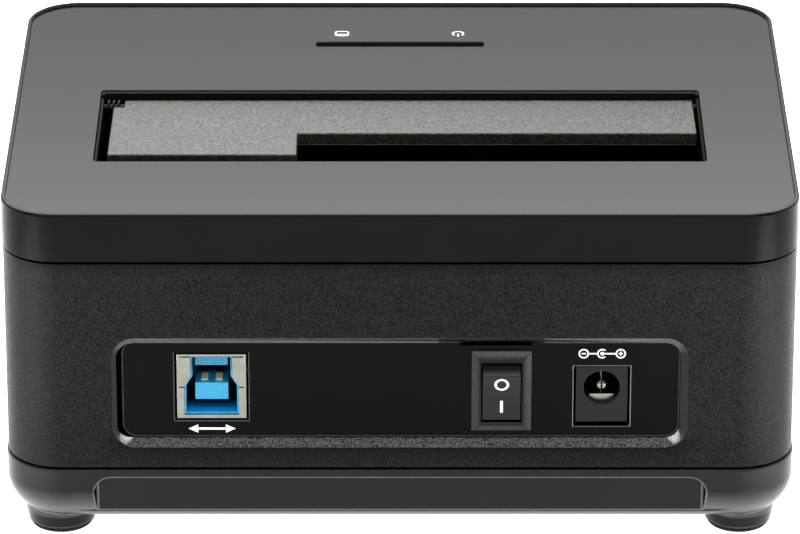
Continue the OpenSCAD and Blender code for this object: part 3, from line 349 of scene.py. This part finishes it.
def body_finish(name, face, over, under, side, painted_highlight):
    """Grained plastic with painted light on the slopes round the panel and a painted highlight at
    their lower corners; painted shade in gaps, seam, hollow, below the panel and under the lid.
    """
    shader = Shader(name)
    grains = shader.noise(0.22 * MM, 2, 0.6)
    across, along, up = shader.parts(shader.place)
    lean_x, _, lean_z = shader.parts(shader.facing)
    rim = shader.box_gap(WINDOW_LOW, WINDOW_HIGH, WINDOW_R)
    # Painted light on the band over the switch, and painted shade in the hollow inside it
    above = shader.maths("GREATER_THAN", up, WINDOW_HIGH[1] - MM)
    relief = shader.maths("MULTIPLY", above, shader.band(across, RELIEF_X, RELIEF_W))
    hollow = shader.maths("MULTIPLY", above, shader.band(across, HOLLOW_X, HOLLOW_W))
    hollow = shader.maths("MULTIPLY", hollow, shader.maths("LESS_THAN", rim, BEVEL_W / 2))
    rear = shader.maths("GREATER_THAN", along, PANEL_LOW.y)
    inside = shader.maths("MULTIPLY", rear, shader.maths("LESS_THAN", rim, BEVEL_W))
    # Painted shade: black and without shine in the gap beside the panel and in the seam under the
    # lid
    gap = shader.box_gap(WINDOW_LOW, (WINDOW_HIGH[0] + GAP_W, WINDOW_HIGH[1]), WINDOW_R)
    gap = shader.maths("MULTIPLY", rear, shader.maths("LESS_THAN", gap, 0.0))
    seam = shader.maths("GREATER_THAN", up, BODY_TOP - BODY_SEAM)
    gap = shader.maths("MAXIMUM", gap, seam)
    steep = shader.span(shader.maths("ABSOLUTE", lean_z, 0.0), 0.0, 1.0, 0.15, 0.45)
    aside = shader.span(shader.maths("ABSOLUTE", lean_x, 0.0), 0.0, 1.0, 0.2, 0.5)
    diagonal = shader.maths("MULTIPLY", shader.maths("ABSOLUTE", lean_x, 0.0), lean_z)
    diagonal = shader.maths("MULTIPLY", diagonal, shader.maths("ABSOLUTE", lean_z, 0.0))
    corner = shader.span(diagonal, 0.0, 1.0, 0.06, 0.1)
    black = shader.tones(grains, BLACK, 1.0)
    plain = shader.tones(grains, grey(face), 1.0, 0.42, 0.58)
    # Painted light on the lower, upper and side slopes, and a painted highlight at their lower
    # corners
    lower = shader.tones(grains, grey(under), 1.0, 0.43, 0.57)
    upper = shader.tones(grains, grey(over), 0.3, 0.4, 0.6)
    lit = shader.tones(grains, grey(side), 0.3, 0.4, 0.6)
    painted_lighting = shader.tones(grains, grey(painted_highlight), 0.4, 0.4, 0.6)
    # Painted shade below the panel and under the lid
    below = shader.maths("MULTIPLY", rear, shader.maths("LESS_THAN", up, WINDOW_LOW[1]))
    shade = shader.span(rim, SHADE, 0.0, BEVEL_W, BEVEL_W + WINDOW_SHADE)
    shade = shader.maths("MULTIPLY", below, shade)
    top_shade = shader.span(up, 0.0, SHADE, BODY_TOP - SEAM_SHADE, BODY_TOP)
    shade = shader.maths("MAXIMUM", shade, top_shade)
    slope = shader.mix(shader.maths("LESS_THAN", lean_z, 0.0), lower, upper)
    slope = shader.mix(steep, shader.mix(aside, plain, lit), slope)
    slope = shader.mix(corner, slope, painted_lighting)
    slope = shader.mix(hollow, shader.mix(relief, slope, lit), black)
    tone = shader.mix(inside, shader.mix(shade, plain, black), slope)
    shader.paint(shader.mix(gap, tone, black))
    gloss = shader.span(gap, 0.064, 0.0, 0.0, 1.0)
    shader.shine(gloss)
    shader.roughness(shader.noise(0.8 * MM, 2), 0.3, 0.4)
    shader.bump(grains, 0.08 * MM)
    return shader.material


def panel_finish(name, face, edge, specular):
    """Glossy plate with a painted highlight line at its edge, and painted shade in the dark gap
    outside it and in the hollow over the switch.
    """
    shader = Shader(name)
    fine = shader.noise(1.2 * MM, 3, 0.6)
    rim = shader.box_gap(PLATE_LOW, PLATE_HIGH, WINDOW_R)
    across, _, up = shader.parts(shader.place)
    # Painted shade in the hollow over the switch and outside the plate
    hollow = shader.maths("GREATER_THAN", up, WINDOW_HIGH[1] - HOLLOW_DROP)
    hollow = shader.maths("MULTIPLY", hollow, shader.band(across, HOLLOW_X, HOLLOW_W))
    outside = shader.maths("MAXIMUM", hollow, shader.maths("GREATER_THAN", rim, 0.0))
    # Painted highlight along the edge of the plate
    line = shader.maths("LESS_THAN", shader.maths("ABSOLUTE", rim, 0.0), LINE_W / 2)
    plain = shader.tones(shader.noise(CLOUD, 3), grey(face), 0.15)
    black = shader.tones(fine, BLACK, 1.0)
    light = shader.tones(fine, grey(edge), 0.3)
    tone = shader.mix(line, shader.mix(outside, plain, black), light)
    shader.paint(tone)
    gloss = shader.span(outside, specular, 0.0, 0.0, 1.0)
    shader.shine(gloss)
    shader.roughness(fine, 0.088, 0.112)
    shader.bump(fine, 0.0006 * MM)
    return shader.material


def rim_finish(name, light, dim):
    """Edges of the panel with a painted highlight, duller round the data port."""
    shader = Shader(name)
    fine = shader.noise(0.3 * MM, 3, 0.6)
    port = shader.maths("GREATER_THAN", shader.parts(shader.place)[0], PORT_LOW.x - 2 * MM)
    # Painted highlight on the edges, dimmer round the port
    plain = shader.tones(fine, grey(light), 0.15)
    dull = shader.tones(fine, grey(dim), 0.15)
    shader.paint(shader.mix(port, plain, dull))
    gloss = shader.span(port, 0.5, 0.25, 0.0, 1.0)
    shader.shine(gloss)
    shader.roughness(fine, 0.26, 0.34)
    shader.bump(fine, 0.001 * MM)
    return shader.material


def base_finish(name, colour, under):
    """Satin plastic, lighter with painted light where it curves under."""
    shader = Shader(name)
    fine = shader.noise(0.25 * MM, 3, 0.6)
    up = shader.parts(shader.place)[2]
    above = shader.maths("GREATER_THAN", up, BASE_LOW)
    lean_z = shader.parts(shader.facing)[2]
    # Painted light on the faces that curve under
    low = shader.span(lean_z, 1.0, 0.0, -0.5, 0.0)
    low = shader.maths("MULTIPLY", low, shader.span(lean_z, 0.25, 1.0, -0.92, -0.55))
    low = shader.maths("MULTIPLY", low, above)
    cloud = shader.noise(CLOUD, 3)
    plain = shader.tones(cloud, grey(colour), 0.15)
    light = shader.tones(cloud, grey(under), 0.1)
    shader.paint(shader.mix(low, plain, light))
    gloss = shader.span(above, 0.14, 0.165, 0.0, 1.0)
    shader.shine(gloss)
    shader.roughness(fine, 0.2, 0.26)
    shader.bump(fine, 0.001 * MM)
    return shader.material


def edge_finish(name, pocket, top):
    """Edge of the base with a painted highlight, lighter round its pockets than at its top."""
    shader = Shader(name)
    fine = shader.noise(0.25 * MM, 3, 0.6)
    up = shader.parts(shader.place)[2]
    high = shader.maths("GREATER_THAN", up, BASE_TOP - EDGE_DROP)
    # Painted highlight on the edge, dimmer at the top of the base
    light = shader.tones(fine, grey(pocket), 0.2)
    dark = shader.tones(fine, grey(top), 0.2)
    shader.paint(shader.mix(high, light, dark))
    gloss = shader.span(high, 0.5, 0.1, 0.0, 1.0)
    shader.shine(gloss)
    shader.roughness(fine, 0.26, 0.34)
    shader.bump(fine, 0.001 * MM)
    return shader.material


def bezel_finish(name, face, slope, top):
    """Grained plastic, lighter with painted light on the slopes than on the flat face, and black
    with painted shade in the hole.
    """
    shader = Shader(name)
    grains = shader.noise(0.2 * MM, 2, 0.6)
    facing = shader.parts(shader.facing)
    flat = shader.span(facing[1], 0.0, 1.0, 0.9, 0.97)
    raised = shader.span(facing[2], 0.0, 1.0, 0.2, 0.4)
    middle = (ROCKER_PIVOT.x, ROCKER_PIVOT.z)
    low = [value - half for value, half in zip(middle, HOLE_HALF)]
    high = [value + half for value, half in zip(middle, HOLE_HALF)]
    # Painted shade: black in the hole round the rocker
    hole = shader.maths("LESS_THAN", shader.box_gap(low, high, 0.0), 0.02 * MM)
    # Painted light on the slopes, most where they face up
    light = shader.tones(grains, grey(slope), 0.4, 0.4, 0.6)
    lit = shader.tones(grains, grey(top), 0.4, 0.4, 0.6)
    dark = shader.tones(grains, grey(face), 0.4, 0.4, 0.6)
    black = shader.tones(grains, BLACK, 1.0)
    tone = shader.mix(flat, shader.mix(raised, light, lit), dark)
    shader.paint(shader.mix(hole, tone, black))
    gloss = shader.span(hole, 0.12, 0.0, 0.0, 1.0)
    shader.shine(gloss)
    shader.roughness(shader.noise(0.6 * MM, 2), 0.35, 0.45)
    shader.bump(grains, 0.01 * MM)
    return shader.material


def contact_finish(name, tip, root):
    """Plated contacts of the port, dark with painted shade towards their roots."""
    shader = Shader(name)
    shader.set(Metallic=0.2)
    along = shader.parts(shader.place)[1]
    fine = shader.noise(0.25 * MM, 3, 0.6, shader.stretch((1, 0.1, 1)))
    # Painted shade towards the roots
    near = shader.span(along, 0.0, 1.0, CONTACT_END - CONTACT_DARK, CONTACT_END - CONTACT_LIT)
    light = shader.ramp(fine, scaled(tip, 0.85), tip)
    dark = shader.ramp(fine, scaled(root, 0.6), root)
    shader.paint(shader.mix(near, dark, light))
    shader.roughness(fine, 0.34, 0.48)
    shader.bump(fine, 0.001 * MM)
    return shader.material


def port_finish(name, colour, floor):
    """Coloured plastic of the port, darker on its upper tongue, and with painted shade a little
    darker on its inner faces and black on its walls and in its depth.
    """
    shader = Shader(name)
    shader.set(Specular_IOR_Level=0.4)
    grains = shader.noise(0.3 * MM, 2, 0.6)
    _, along, up = shader.parts(shader.place)
    # Painted shade: black deep in the port, on its inner side walls and on its floor away from the
    # mouth
    near = shader.span(along, 0.0, 1.0, *PORT_DEPTH)
    shallow = shader.span(along, 0.0, 1.0, *FLOOR_DEPTH)
    lean_x, lean_y, _ = shader.parts(shader.facing)
    front = shader.span(lean_y, 0.0, 1.0, 0.4, 0.6)
    within = shader.maths("SUBTRACT", 1.0, front)
    deep = shader.maths("MULTIPLY", within, shader.maths("GREATER_THAN", up, PORT_FLOOR))
    low = shader.maths("MULTIPLY", within, shader.maths("LESS_THAN", up, PORT_FLOOR))
    wall = shader.maths("GREATER_THAN", shader.maths("ABSOLUTE", lean_x, 0.0), 0.7)
    wall = shader.maths("MULTIPLY", deep, wall)
    upper = shader.maths("MULTIPLY", front, shader.maths("GREATER_THAN", up, PORT_UPPER))
    plain = shader.tones(grains, colour, 0.25, 0.35, 0.65)
    dim = shader.ramp(grains, scaled(colour, 0.45), scaled(colour, 0.8), 0.35, 0.65)
    dark = shader.ramp(grains, scaled(colour, 0.75), scaled(colour, 1.1), 0.35, 0.65)
    black = shader.ramp(grains, scaled(colour, 0.03), scaled(colour, 0.06), 0.35, 0.65)
    rich = shader.tones(grains, floor, 0.25, 0.35, 0.65)
    tone = shader.mix(deep, shader.mix(upper, plain, dim), dark)
    rich = shader.mix(shallow, black, rich)
    tone = shader.mix(low, shader.mix(wall, tone, black), rich)
    shader.paint(shader.mix(near, black, tone))
    shader.roughness(shader.noise(0.6 * MM, 2), 0.26, 0.34)
    shader.bump(grains, 0.004 * MM)
    return shader.material


def door_finish(name, top, side, edge):
    """Grained plastic, lighter on top than on the sides, whose darker tone is painted shade, with a
    painted highlight on the lower edges, and glossier towards one end.
    """
    shader = Shader(name)
    shader.set(Specular_Tint=(1, 1, 0.88, 1))
    grains = shader.noise(0.55 * MM, 2, 0.6)
    across, along, _ = shader.parts(shader.place)
    lean_z = shader.parts(shader.facing)[2]
    # Painted shade on the sides, which take a darker tone than the tops
    painted_lighting = shader.span(lean_z, 0.0, 1.0, 0.5, 0.9)
    # Painted highlight on the lower edges
    under = shader.span(lean_z, 1.0, 0.0, -0.5, -0.1)
    dark = shader.tones(grains, side, 0.5, 0.4, 0.6)
    light = shader.tones(grains, top, 0.5, 0.4, 0.6)
    painted_highlight = shader.tones(grains, edge, 0.3, 0.4, 0.6)
    tone = shader.mix(under, shader.mix(painted_lighting, dark, light), painted_highlight)
    shader.paint(tone)
    wear = shader.span(across, 0.165, 0.25, *WEAR_X)
    depth = shader.span(along, 0.7, 1.02, *WEAR_Y)
    gloss = shader.maths("MULTIPLY", wear, depth)
    gloss = shader.maths("MULTIPLY", gloss, shader.span(grains, 0.72, 1.28, 0.4, 0.6))
    shader.shine(gloss)
    shader.roughness(shader.noise(0.6 * MM, 2), 0.31, 0.41)
    shader.bump(grains, 0.05 * MM)
    return shader.material


def metal(name, colour, rough, streak=(1, 1, 1)):
    """Bare or plated metal with fine streaks and cloudy roughness."""
    shader = Shader(name)
    shader.set(Metallic=1.0)
    streaks = shader.noise(0.25 * MM, 3, 0.6, shader.stretch(streak))
    cloud = shader.noise(2.5 * MM, 3)
    shader.paint(shader.ramp(cloud, scaled(colour, 0.86), scaled(colour, 1.04)))
    shader.roughness(streaks, rough - 0.06, rough + 0.08)
    shader.bump(streaks, 0.001 * MM)
    return shader.material


MASK_DARK = (0.004, 0.05, 0.018)
MASK_LIGHT = (0.008, 0.085, 0.03)


def board_finish(name):
    """Solder mask with tracks under it."""
    shader = Shader(name)
    tracks = shader.noise(1.4 * MM, 0, 0.5, shader.stretch((1, 0.12, 1)))
    shader.paint(shader.ramp(tracks, MASK_DARK, MASK_LIGHT, 0.47, 0.53))
    shader.roughness(shader.noise(3 * MM, 2), 0.25, 0.4)
    shader.bump(tracks, 0.01 * MM)
    return shader.material


def smoked_finish(name):
    """Dark smoked plastic of the light bar."""
    shader = Shader(name)
    shader.set(Specular_IOR_Level=0.0)
    cloud = shader.noise(4 * MM, 3)
    shader.paint(shader.ramp(cloud, grey(0.002), grey(0.004)))
    shader.roughness(cloud, 0.45, 0.6)
    shader.bump(shader.noise(0.5 * MM, 2), 0.002 * MM)
    return shader.material


def print_finish(name):
    """White pad print."""
    shader = Shader(name)
    shader.set(Specular_IOR_Level=0.3)
    cloud = shader.noise(0.4 * MM, 3)
    shader.paint(shader.ramp(cloud, grey(0.74), grey(0.86)))
    shader.roughness(cloud, 0.45, 0.6)
    shader.bump(cloud, 0.002 * MM)
    return shader.material


# The cover's edge tone is painted light on the far wall of the slot
COVER = cover_finish("cover_satin", 0.0025, 0.035, 0.055, 0.3 * MM)
# Body slope tones are painted light, and the last value a painted highlight at their corners
BODY = body_finish("body_grain", 0.0068, 0.07, 0.05, 0.02, 0.4)
# The panel's edge tone is a painted highlight line
PANEL = panel_finish("panel_gloss", 0.0015, 0.03, 0.042)
# Both tones are painted highlights on the panel's rounded edges
PANEL_EDGE = rim_finish("panel_edge", 0.11, 0.04)
# The second tone is painted light where the base curves under
BASE = base_finish("base_satin", 0.0038, 0.085)
# Both tones are painted highlights on the base's rounded edges
BASE_EDGE = edge_finish("base_edge", 0.06, 0.012)
# The side tone is painted shade and the edge tone a painted highlight
DOOR = door_finish("door_grain", (0.0215, 0.0215, 0.019), grey(0.013), grey(0.22))
# The edge tone is painted light on the far rim
WELL = well_finish("well_plastic", 0.004, 0.028)
SWITCH = plastic("switch_plastic", grey(0.005), 0.3, 0.2 * MM, 0.0012 * MM, 0.18)
# Slope and top tones are painted light
BEZEL = bezel_finish("bezel_plastic", 0.004, 0.026, 0.05)
CONNECTOR = plastic("connector_plastic", grey(0.012), 0.42, 0.25 * MM, 0.002 * MM, 0.3)
JACK = plastic("jack_plastic", grey(0.005), 0.4, 0.25 * MM, 0.002 * MM, 0.15)
CHIP = grained("chip_plastic", grey(0.02), 0.5, 0.15 * MM, 0.004 * MM, 0.4)
RUBBER = grained("pad_rubber", grey(0.006), 0.7, 0.3 * MM, 0.01 * MM, 0.2)
CABLE = plastic("cable_cover", grey(0.08), 0.5, 0.3 * MM, 0.003 * MM)
RED_CABLE = plastic("red_cover", (0.35, 0.012, 0.01), 0.45, 0.3 * MM, 0.003 * MM)
IVORY = plastic("ivory_plastic", (0.62, 0.57, 0.44), 0.42, 0.3 * MM, 0.002 * MM)
LED = plastic("led_resin", (0.72, 0.7, 0.55), 0.25, 0.5 * MM, 0.001 * MM)
BLUE = port_finish("port_blue", (0.0075, 0.26, 0.465), (0.002, 0.23, 0.6))
SHELL = metal("port_shell", (0.2, 0.205, 0.178), 0.28, (1, 1, 0.15))
STEEL = metal("steel", (0.5, 0.5, 0.5), 0.3, (0.1, 1, 1))
SPRING = metal("spring_steel", (0.02, 0.02, 0.02), 0.42)
GOLD = metal("contact_gold", (0.86, 0.6, 0.24), 0.22, (1, 0.1, 1))
# The root colour is painted shade
CONTACT = contact_finish("port_contact", (0.95, 0.88, 0.68), (0.03, 0.014, 0.008))
CAN = metal("cap_aluminium", (0.72, 0.72, 0.74), 0.3, (1, 1, 0.2))
BOARD = board_finish("solder_mask")
SMOKED = smoked_finish("light_bar_smoke")
PRINT = print_finish("white_print")

FINISH = {
    COVER: ["top_cover"],
    BODY: ["body_shell"],
    PANEL: ["rear_panel"],
    BASE: ["base_tray"],
    WELL: ["drive_well"],
    DOOR: ["slot_door"],
    STEEL: ["base_screws", "cover_screws", "well_screws", "pcb_screws", "led_screws"],
    SPRING: ["door_spring", "hinge_pin"],
    SMOKED: ["light_bar"],
    BOARD: ["led_board", "main_pcb"],
    LED: ["power_led", "activity_led"],
    IVORY: ["led_plug", "switch_plunger"],
    CABLE: ["led_cable", "switch_wire_2"],
    RED_CABLE: ["switch_wire_1"],
    CONNECTOR: ["sata_connector"],
    JACK: ["dc_jack_body"],
    GOLD: [
        "sata_signal_contacts", "sata_power_contacts", "switch_blade",
        "switch_terminal_common", "switch_terminal_load",
    ],
    CONTACT: ["usb_contacts"],
    SHELL: ["usb_shell", "dc_jack_pin", "dc_jack_leaf", "crystal"],
    BLUE: ["usb_insulator"],
    BEZEL: ["switch_housing"],
    SWITCH: ["switch_rocker"],
    CHIP: ["bridge_chip", "flash_chip", "power_chip", "power_inductor"],
    CAN: ["bulk_cap_1", "bulk_cap_2"],
    RUBBER: [f"foot_pad_{number}" for number in range(1, 5)],
}


def dress_nodes():
    for finish, names in FINISH.items():
        for name in names:
            nodes[name].data.materials.clear()
            nodes[name].data.materials.append(finish)


# Rounded edges of the moulded pieces: width in millimetres and the finish of the edge, which paints
# a highlight along it where one is given
EDGES = {
    "body_shell": (0.22, None),
    "rear_panel": (0.16, PANEL_EDGE),
    "base_tray": (0.3, BASE_EDGE),
    "drive_well": (0.1, None),
    "slot_door": (0.32, None),
    "switch_housing": (0.1, None),
    "switch_rocker": (0.1, None),
    "usb_shell": (0.06, None),
    "usb_insulator": (0.1, None),
    "dc_jack_body": (0.1, None),
    "sata_connector": (0.12, None),
}
EDGE_ANGLE = math.radians(32)
FLAT_ANGLE = math.radians(0.5)


def round_edges(node, width, finish):
    """Rounds the sharp edges of a solid and keeps its flat faces evenly shaded."""
    weld = node.modifiers.new("weld", "WELD")
    weld.merge_threshold = 1e-6
    flat = node.modifiers.new("flat", "DECIMATE")
    flat.decimate_type = "DISSOLVE"
    flat.angle_limit = FLAT_ANGLE
    edge = node.modifiers.new("edge", "BEVEL")
    edge.width = width
    edge.segments = 3
    edge.limit_method = "ANGLE"
    edge.angle_limit = EDGE_ANGLE
    edge.use_clamp_overlap = False
    # Where given, the edge finish paints a highlight along the rounded edge
    if finish:
        node.data.materials.append(finish)
        edge.material = len(node.data.materials) - 1
    even = node.modifiers.new("even", "WEIGHTED_NORMAL")
    even.keep_sharp = False


# Pieces made here
def add_piece(name, mesh, finish):
    """A mesh as a new piece with its finish."""
    data = bpy.data.meshes.new(name)
    mesh.to_mesh(data)
    mesh.free()
    data.materials.append(finish)
    piece = bpy.data.objects.new(name, data)
    scene.collection.objects.link(piece)
    return piece


def skin(rings):
    """A closed mesh through rings of points."""
    mesh = bmesh.new()
    loops = [[mesh.verts.new(point) for point in ring] for ring in rings]
    for first, second in zip(loops, loops[1:]):
        for i in range(len(first)):
            mesh.faces.new((first[i - 1], first[i], second[i], second[i - 1]))
    mesh.faces.new(loops[0])
    mesh.faces.new(loops[-1])
    bmesh.ops.recalc_face_normals(mesh, faces=mesh.faces)
    return mesh


def smooth(piece, angle):
    piece.data.shade_smooth()
    piece.data.set_sharp_from_angle(angle=math.radians(angle))


# Door spring
COIL_R = 1.15 * MM
WIRE_R = 0.22 * MM
COIL_START = math.radians(-90)
COIL_END = math.radians(-1097)
COIL_STEPS = 84
DOOR_LEG = 6.2 * MM
WALL_LEG = 7.6 * MM
WIRE_SIDES = 14


def coil_out(angle):
    return Vector((0, math.cos(angle), math.sin(angle)))


def coil_along(angle):
    return Vector((0, math.sin(angle), -math.cos(angle)))


def add_spring():
    """Torsion spring with one leg along the door and one along the wall."""
    low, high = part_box("door_spring")
    axis = Vector((0, HINGE.y, HINGE.z))
    first = axis + Vector((low.x + WIRE_R, 0, 0))
    last = axis + Vector((high.x - WIRE_R, 0, 0))
    path = [(first + COIL_R * coil_out(COIL_START) - DOOR_LEG * coil_along(COIL_START), COIL_START)]
    for i in range(COIL_STEPS + 1):
        share = i / COIL_STEPS
        angle = COIL_START + (COIL_END - COIL_START) * share
        path.append((first.lerp(last, share) + COIL_R * coil_out(angle), angle))
    path.append((last + COIL_R * coil_out(COIL_END) + WALL_LEG * coil_along(COIL_END), COIL_END))
    rings = []
    for point, angle in path:
        ring = []
        for k in range(WIRE_SIDES):
            turn = 2 * math.pi * k / WIRE_SIDES
            side = math.cos(turn) * coil_out(angle) + math.sin(turn) * Vector((1, 0, 0))
            ring.append(point + WIRE_R * side)
        rings.append(ring)
    spring = add_piece("spring_wire", skin(rings), SPRING)
    smooth(spring, 50)
    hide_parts("door_spring")
    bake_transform(spring)


# Foot pads
RIDGES = 60
RIDGE_DEPTH = 0.14 * MM
RIDGE_STEPS = 8
PAD_EDGE = 0.3 * MM


def add_pad(number):
    """Rubber pad with a ribbed edge."""
    node = f"foot_pad_{number}"
    low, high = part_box(node)
    middle = (low + high) / 2
    radius = (high.x - low.x) / 2
    steps = RIDGES * RIDGE_STEPS
    rings = []
    for reach, level in ((radius - PAD_EDGE, low.z), (radius, low.z + PAD_EDGE), (radius, high.z)):
        ring = []
        for k in range(steps):
            turn = 2 * math.pi * k / steps
            dip = RIDGE_DEPTH * (1 - math.cos(RIDGES * turn)) / 2
            spot = Vector((math.cos(turn), math.sin(turn), 0)) * (reach - dip)
            ring.append(Vector((middle.x, middle.y, level)) + spot)
        rings.append(ring)
    pad = add_piece(f"ribbed_pad_{number}", skin(rings), RUBBER)
    smooth(pad, 40)
    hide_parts(node)
    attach(pad, "dock")


# White marks, drawn in millimetres
PRINT_T = 0.02
ARC_STEP = 8


def bar(u, v, width, height):
    """Upright rectangle."""
    w, h = width / 2, height / 2
    return [[(u - w, v - h), (u + w, v - h), (u + w, v + h), (u - w, v + h)]]


def arc(u, v, reach_u, reach_v, width, start=0, stop=360):
    """Stretch of an oval line."""
    steps = max(1, round((stop - start) / ARC_STEP))
    ends = []
    for i in range(steps + 1):
        turn = math.radians(start + (stop - start) * i / steps)
        ends.append([
            (u + (reach_u + side) * math.cos(turn), v + (reach_v + side) * math.sin(turn))
            for side in (-width / 2, width / 2)
        ])
    return [[a[0], a[1], b[1], b[0]] for a, b in zip(ends, ends[1:])]


def arrow_head(u, v, length, height):
    """Triangle that points along u, or back where its length is negative."""
    return [[(u, v - height / 2), (u + length, v), (u, v + height / 2)]]


def add_print(name, shapes, place, body):
    """Shapes as thin paint on a surface, which the function place maps to the frame."""
    mesh = bmesh.new()
    for shape in shapes:
        mesh.faces.new([mesh.verts.new((u, v, 0)) for u, v in shape])
    bmesh.ops.remove_doubles(mesh, verts=mesh.verts, dist=1e-4)
    grown = bmesh.ops.extrude_face_region(mesh, geom=mesh.faces[:])
    for item in grown["geom"]:
        if isinstance(item, bmesh.types.BMVert):
            item.co.z += PRINT_T
    for vert in mesh.verts:
        vert.co = place(*vert.co)
    bmesh.ops.recalc_face_normals(mesh, faces=mesh.faces)
    piece = add_piece(name, mesh, PRINT)
    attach(piece, body)


def on_panel(x, z):
    """Surface of the rear panel round a point, seen from the rear."""
    return lambda u, v, t: Vector((x - u * MM, PANEL_Y + t * MM, z + v * MM))


def on_cover(x, y):
    """Surface of the top cover round a point, read from the front."""
    return lambda u, v, t: Vector((x + u * MM, y + v * MM, PLATE_Z + t * MM))


ROCKER_REST = math.radians(12)
DISH_R = 24
DISH_AT = 26.21


def on_rocker(u, v, t):
    """Hollow face of the rocker at rest."""
    face = DISH_AT - math.sqrt(DISH_R ** 2 - v ** 2) + t
    turned = Matrix.Rotation(-ROCKER_REST, 3, "X") @ Vector((-u, face, v))
    return ROCKER_PIVOT + turned * MM


SYMBOL_X = 10.7 * MM
SYMBOL_IN = 2.2 * MM
POLARITY_UP = 2.6 * MM
DATA_DOWN = 7.35 * MM
BOLD = 0.42
FINE = 0.3
THIN = 0.26


def add_marks():
    add_print("mark_off", arc(0, 2.75, 1.06, 1.15, BOLD), on_rocker, "rocker")
    add_print("mark_on", bar(0, -2.05, 0.5, 2.4), on_rocker, "rocker")
    power = arc(0, 0, 1.0, 1.0, FINE, 130, 410) + bar(0, 0.75, FINE, 1.3)
    disk = arc(0, 0.72, 1.15, 0.4, FINE) + arc(0, -0.72, 1.15, 0.4, FINE, 180, 360)
    disk += bar(-1.15, 0, FINE, 1.44) + bar(1.15, 0, FINE, 1.44)
    symbol_y = LIGHT_LOW.y - SYMBOL_IN
    add_print("mark_power", power, on_cover(-SYMBOL_X, symbol_y), "dock")
    add_print("mark_drive", disk, on_cover(SYMBOL_X, symbol_y), "dock")
    polarity = arc(-3.2, 0, 0.78, 0.78, THIN) + bar(-3.2, 0, 0.75, THIN)
    polarity += arc(3.2, 0, 0.78, 0.78, THIN) + bar(3.2, 0, 0.75, THIN) + bar(3.2, 0, THIN, 0.75)
    polarity += arc(0, 0, 0.78, 0.78, THIN, 50, 310) + arc(0, 0, 0.17, 0.17, 0.34)
    polarity += bar(-1.6, 0, 1.5, THIN) + bar(1.3, 0, 2.1, THIN)
    jack_x = (JACK_LOW.x + JACK_HIGH.x) / 2
    add_print("mark_polarity", polarity, on_panel(jack_x, JACK_HIGH.z + POLARITY_UP), "dock")
    arrows = bar(0, 0, 5.2, BOLD) + arrow_head(2.4, 0, 1.7, 1.6) + arrow_head(-2.4, 0, -1.7, 1.6)
    port_x = (PORT_LOW.x + PORT_HIGH.x) / 2
    add_print("mark_data", arrows, on_panel(port_x, PANEL_MIDDLE.z - DATA_DOWN), "dock")


# Stage
FLOOR_HALF = 4.0
FLOOR_GLOW = 1.2
FLOOR_CLOUD = 0.4


def add_floor():
    mesh = bmesh.new()
    bmesh.ops.create_grid(mesh, x_segments=1, y_segments=1, size=FLOOR_HALF)
    data = bpy.data.meshes.new("floor")
    mesh.to_mesh(data)
    mesh.free()
    floor = bpy.data.objects.new("floor", data)
    scene.collection.objects.link(floor)
    shader = Shader("floor_white")
    shader.set(Specular_IOR_Level=0.2, Emission_Color=(1, 1, 1, 1), Emission_Strength=FLOOR_GLOW)
    cloud = shader.noise(FLOOR_CLOUD, 2)
    shader.paint(shader.ramp(cloud, grey(0.82), grey(0.85)))
    shader.roughness(cloud, 0.6, 0.7)
    data.materials.append(shader.material)


DOCK_MIDDLE = (0, 0, 0.04)
WORLD_GLOW = 0.2
WALL_SIZE = (1.6, 0.8)
ROOF_SIZE = (1.0, 0.6)
SIDE_SIZE = (0.36, 0.28)
POOL_SIZE = (0.07, 0.08)
POOL_SPREAD = 30


def add_panel(name, place, size, radiance, target=DOCK_MIDDLE, spread=180, sheen=False):
    """Soft light panel that faces the dock or another target, or lights its sheen alone."""
    data = bpy.data.lights.new(name, "AREA")
    data.shape = "RECTANGLE"
    data.size, data.size_y = size
    data.energy = radiance * math.pi * size[0] * size[1]
    data.spread = math.radians(spread)
    lamp = bpy.data.objects.new(name, data)
    scene.collection.objects.link(lamp)
    lamp.location = place
    lamp.rotation_mode = "QUATERNION"
    lamp.rotation_quaternion = (Vector(target) - Vector(place)).to_track_quat("-Z", "Y")
    lamp.visible_camera = False
    lamp.visible_diffuse = not sheen


def add_world(strength):
    world = bpy.data.worlds.new("studio")
    world.use_nodes = True
    background = world.node_tree.nodes["Background"]
    background.inputs["Color"].default_value = (1, 1, 1, 1)
    background.inputs["Strength"].default_value = strength
    scene.world = world


def add_stage():
    add_floor()
    add_world(WORLD_GLOW)
    add_panel("key_panel", (0, -1.0, 0.7), WALL_SIZE, 2.0)
    add_panel("high_panel", (0, -1.0, 0.925), WALL_SIZE, 6.6)
    add_panel("top_panel", (0, 0.45, 1.2), ROOF_SIZE, 5.5)
    add_panel("left_panel", (0.26, -0.04, 0.16), SIDE_SIZE, 1.6)
    add_panel("right_panel", (-0.26, -0.04, 0.16), SIDE_SIZE, 1.9)
    add_panel("back_panel", (0, 1.3, 0.75), WALL_SIZE, 1.8)
    add_panel("over_panel", (0, -0.25, 1.2), ROOF_SIZE, 3, sheen=True)
    add_panel("left_pool", (0.13, 0.106, 0.15), POOL_SIZE, 15, (0.13, 0.106, 0), POOL_SPREAD)
    add_panel("right_pool", (-0.13, 0.106, 0.15), POOL_SIZE, 18, (-0.13, 0.106, 0), POOL_SPREAD)
    scene.view_settings.view_transform = "Standard"


dress_nodes()
for name, (width, finish) in EDGES.items():
    round_edges(nodes[name], width * MM, finish)
add_spring()
for number in range(1, 5):
    add_pad(number)
add_marks()
add_camera()
add_stage()
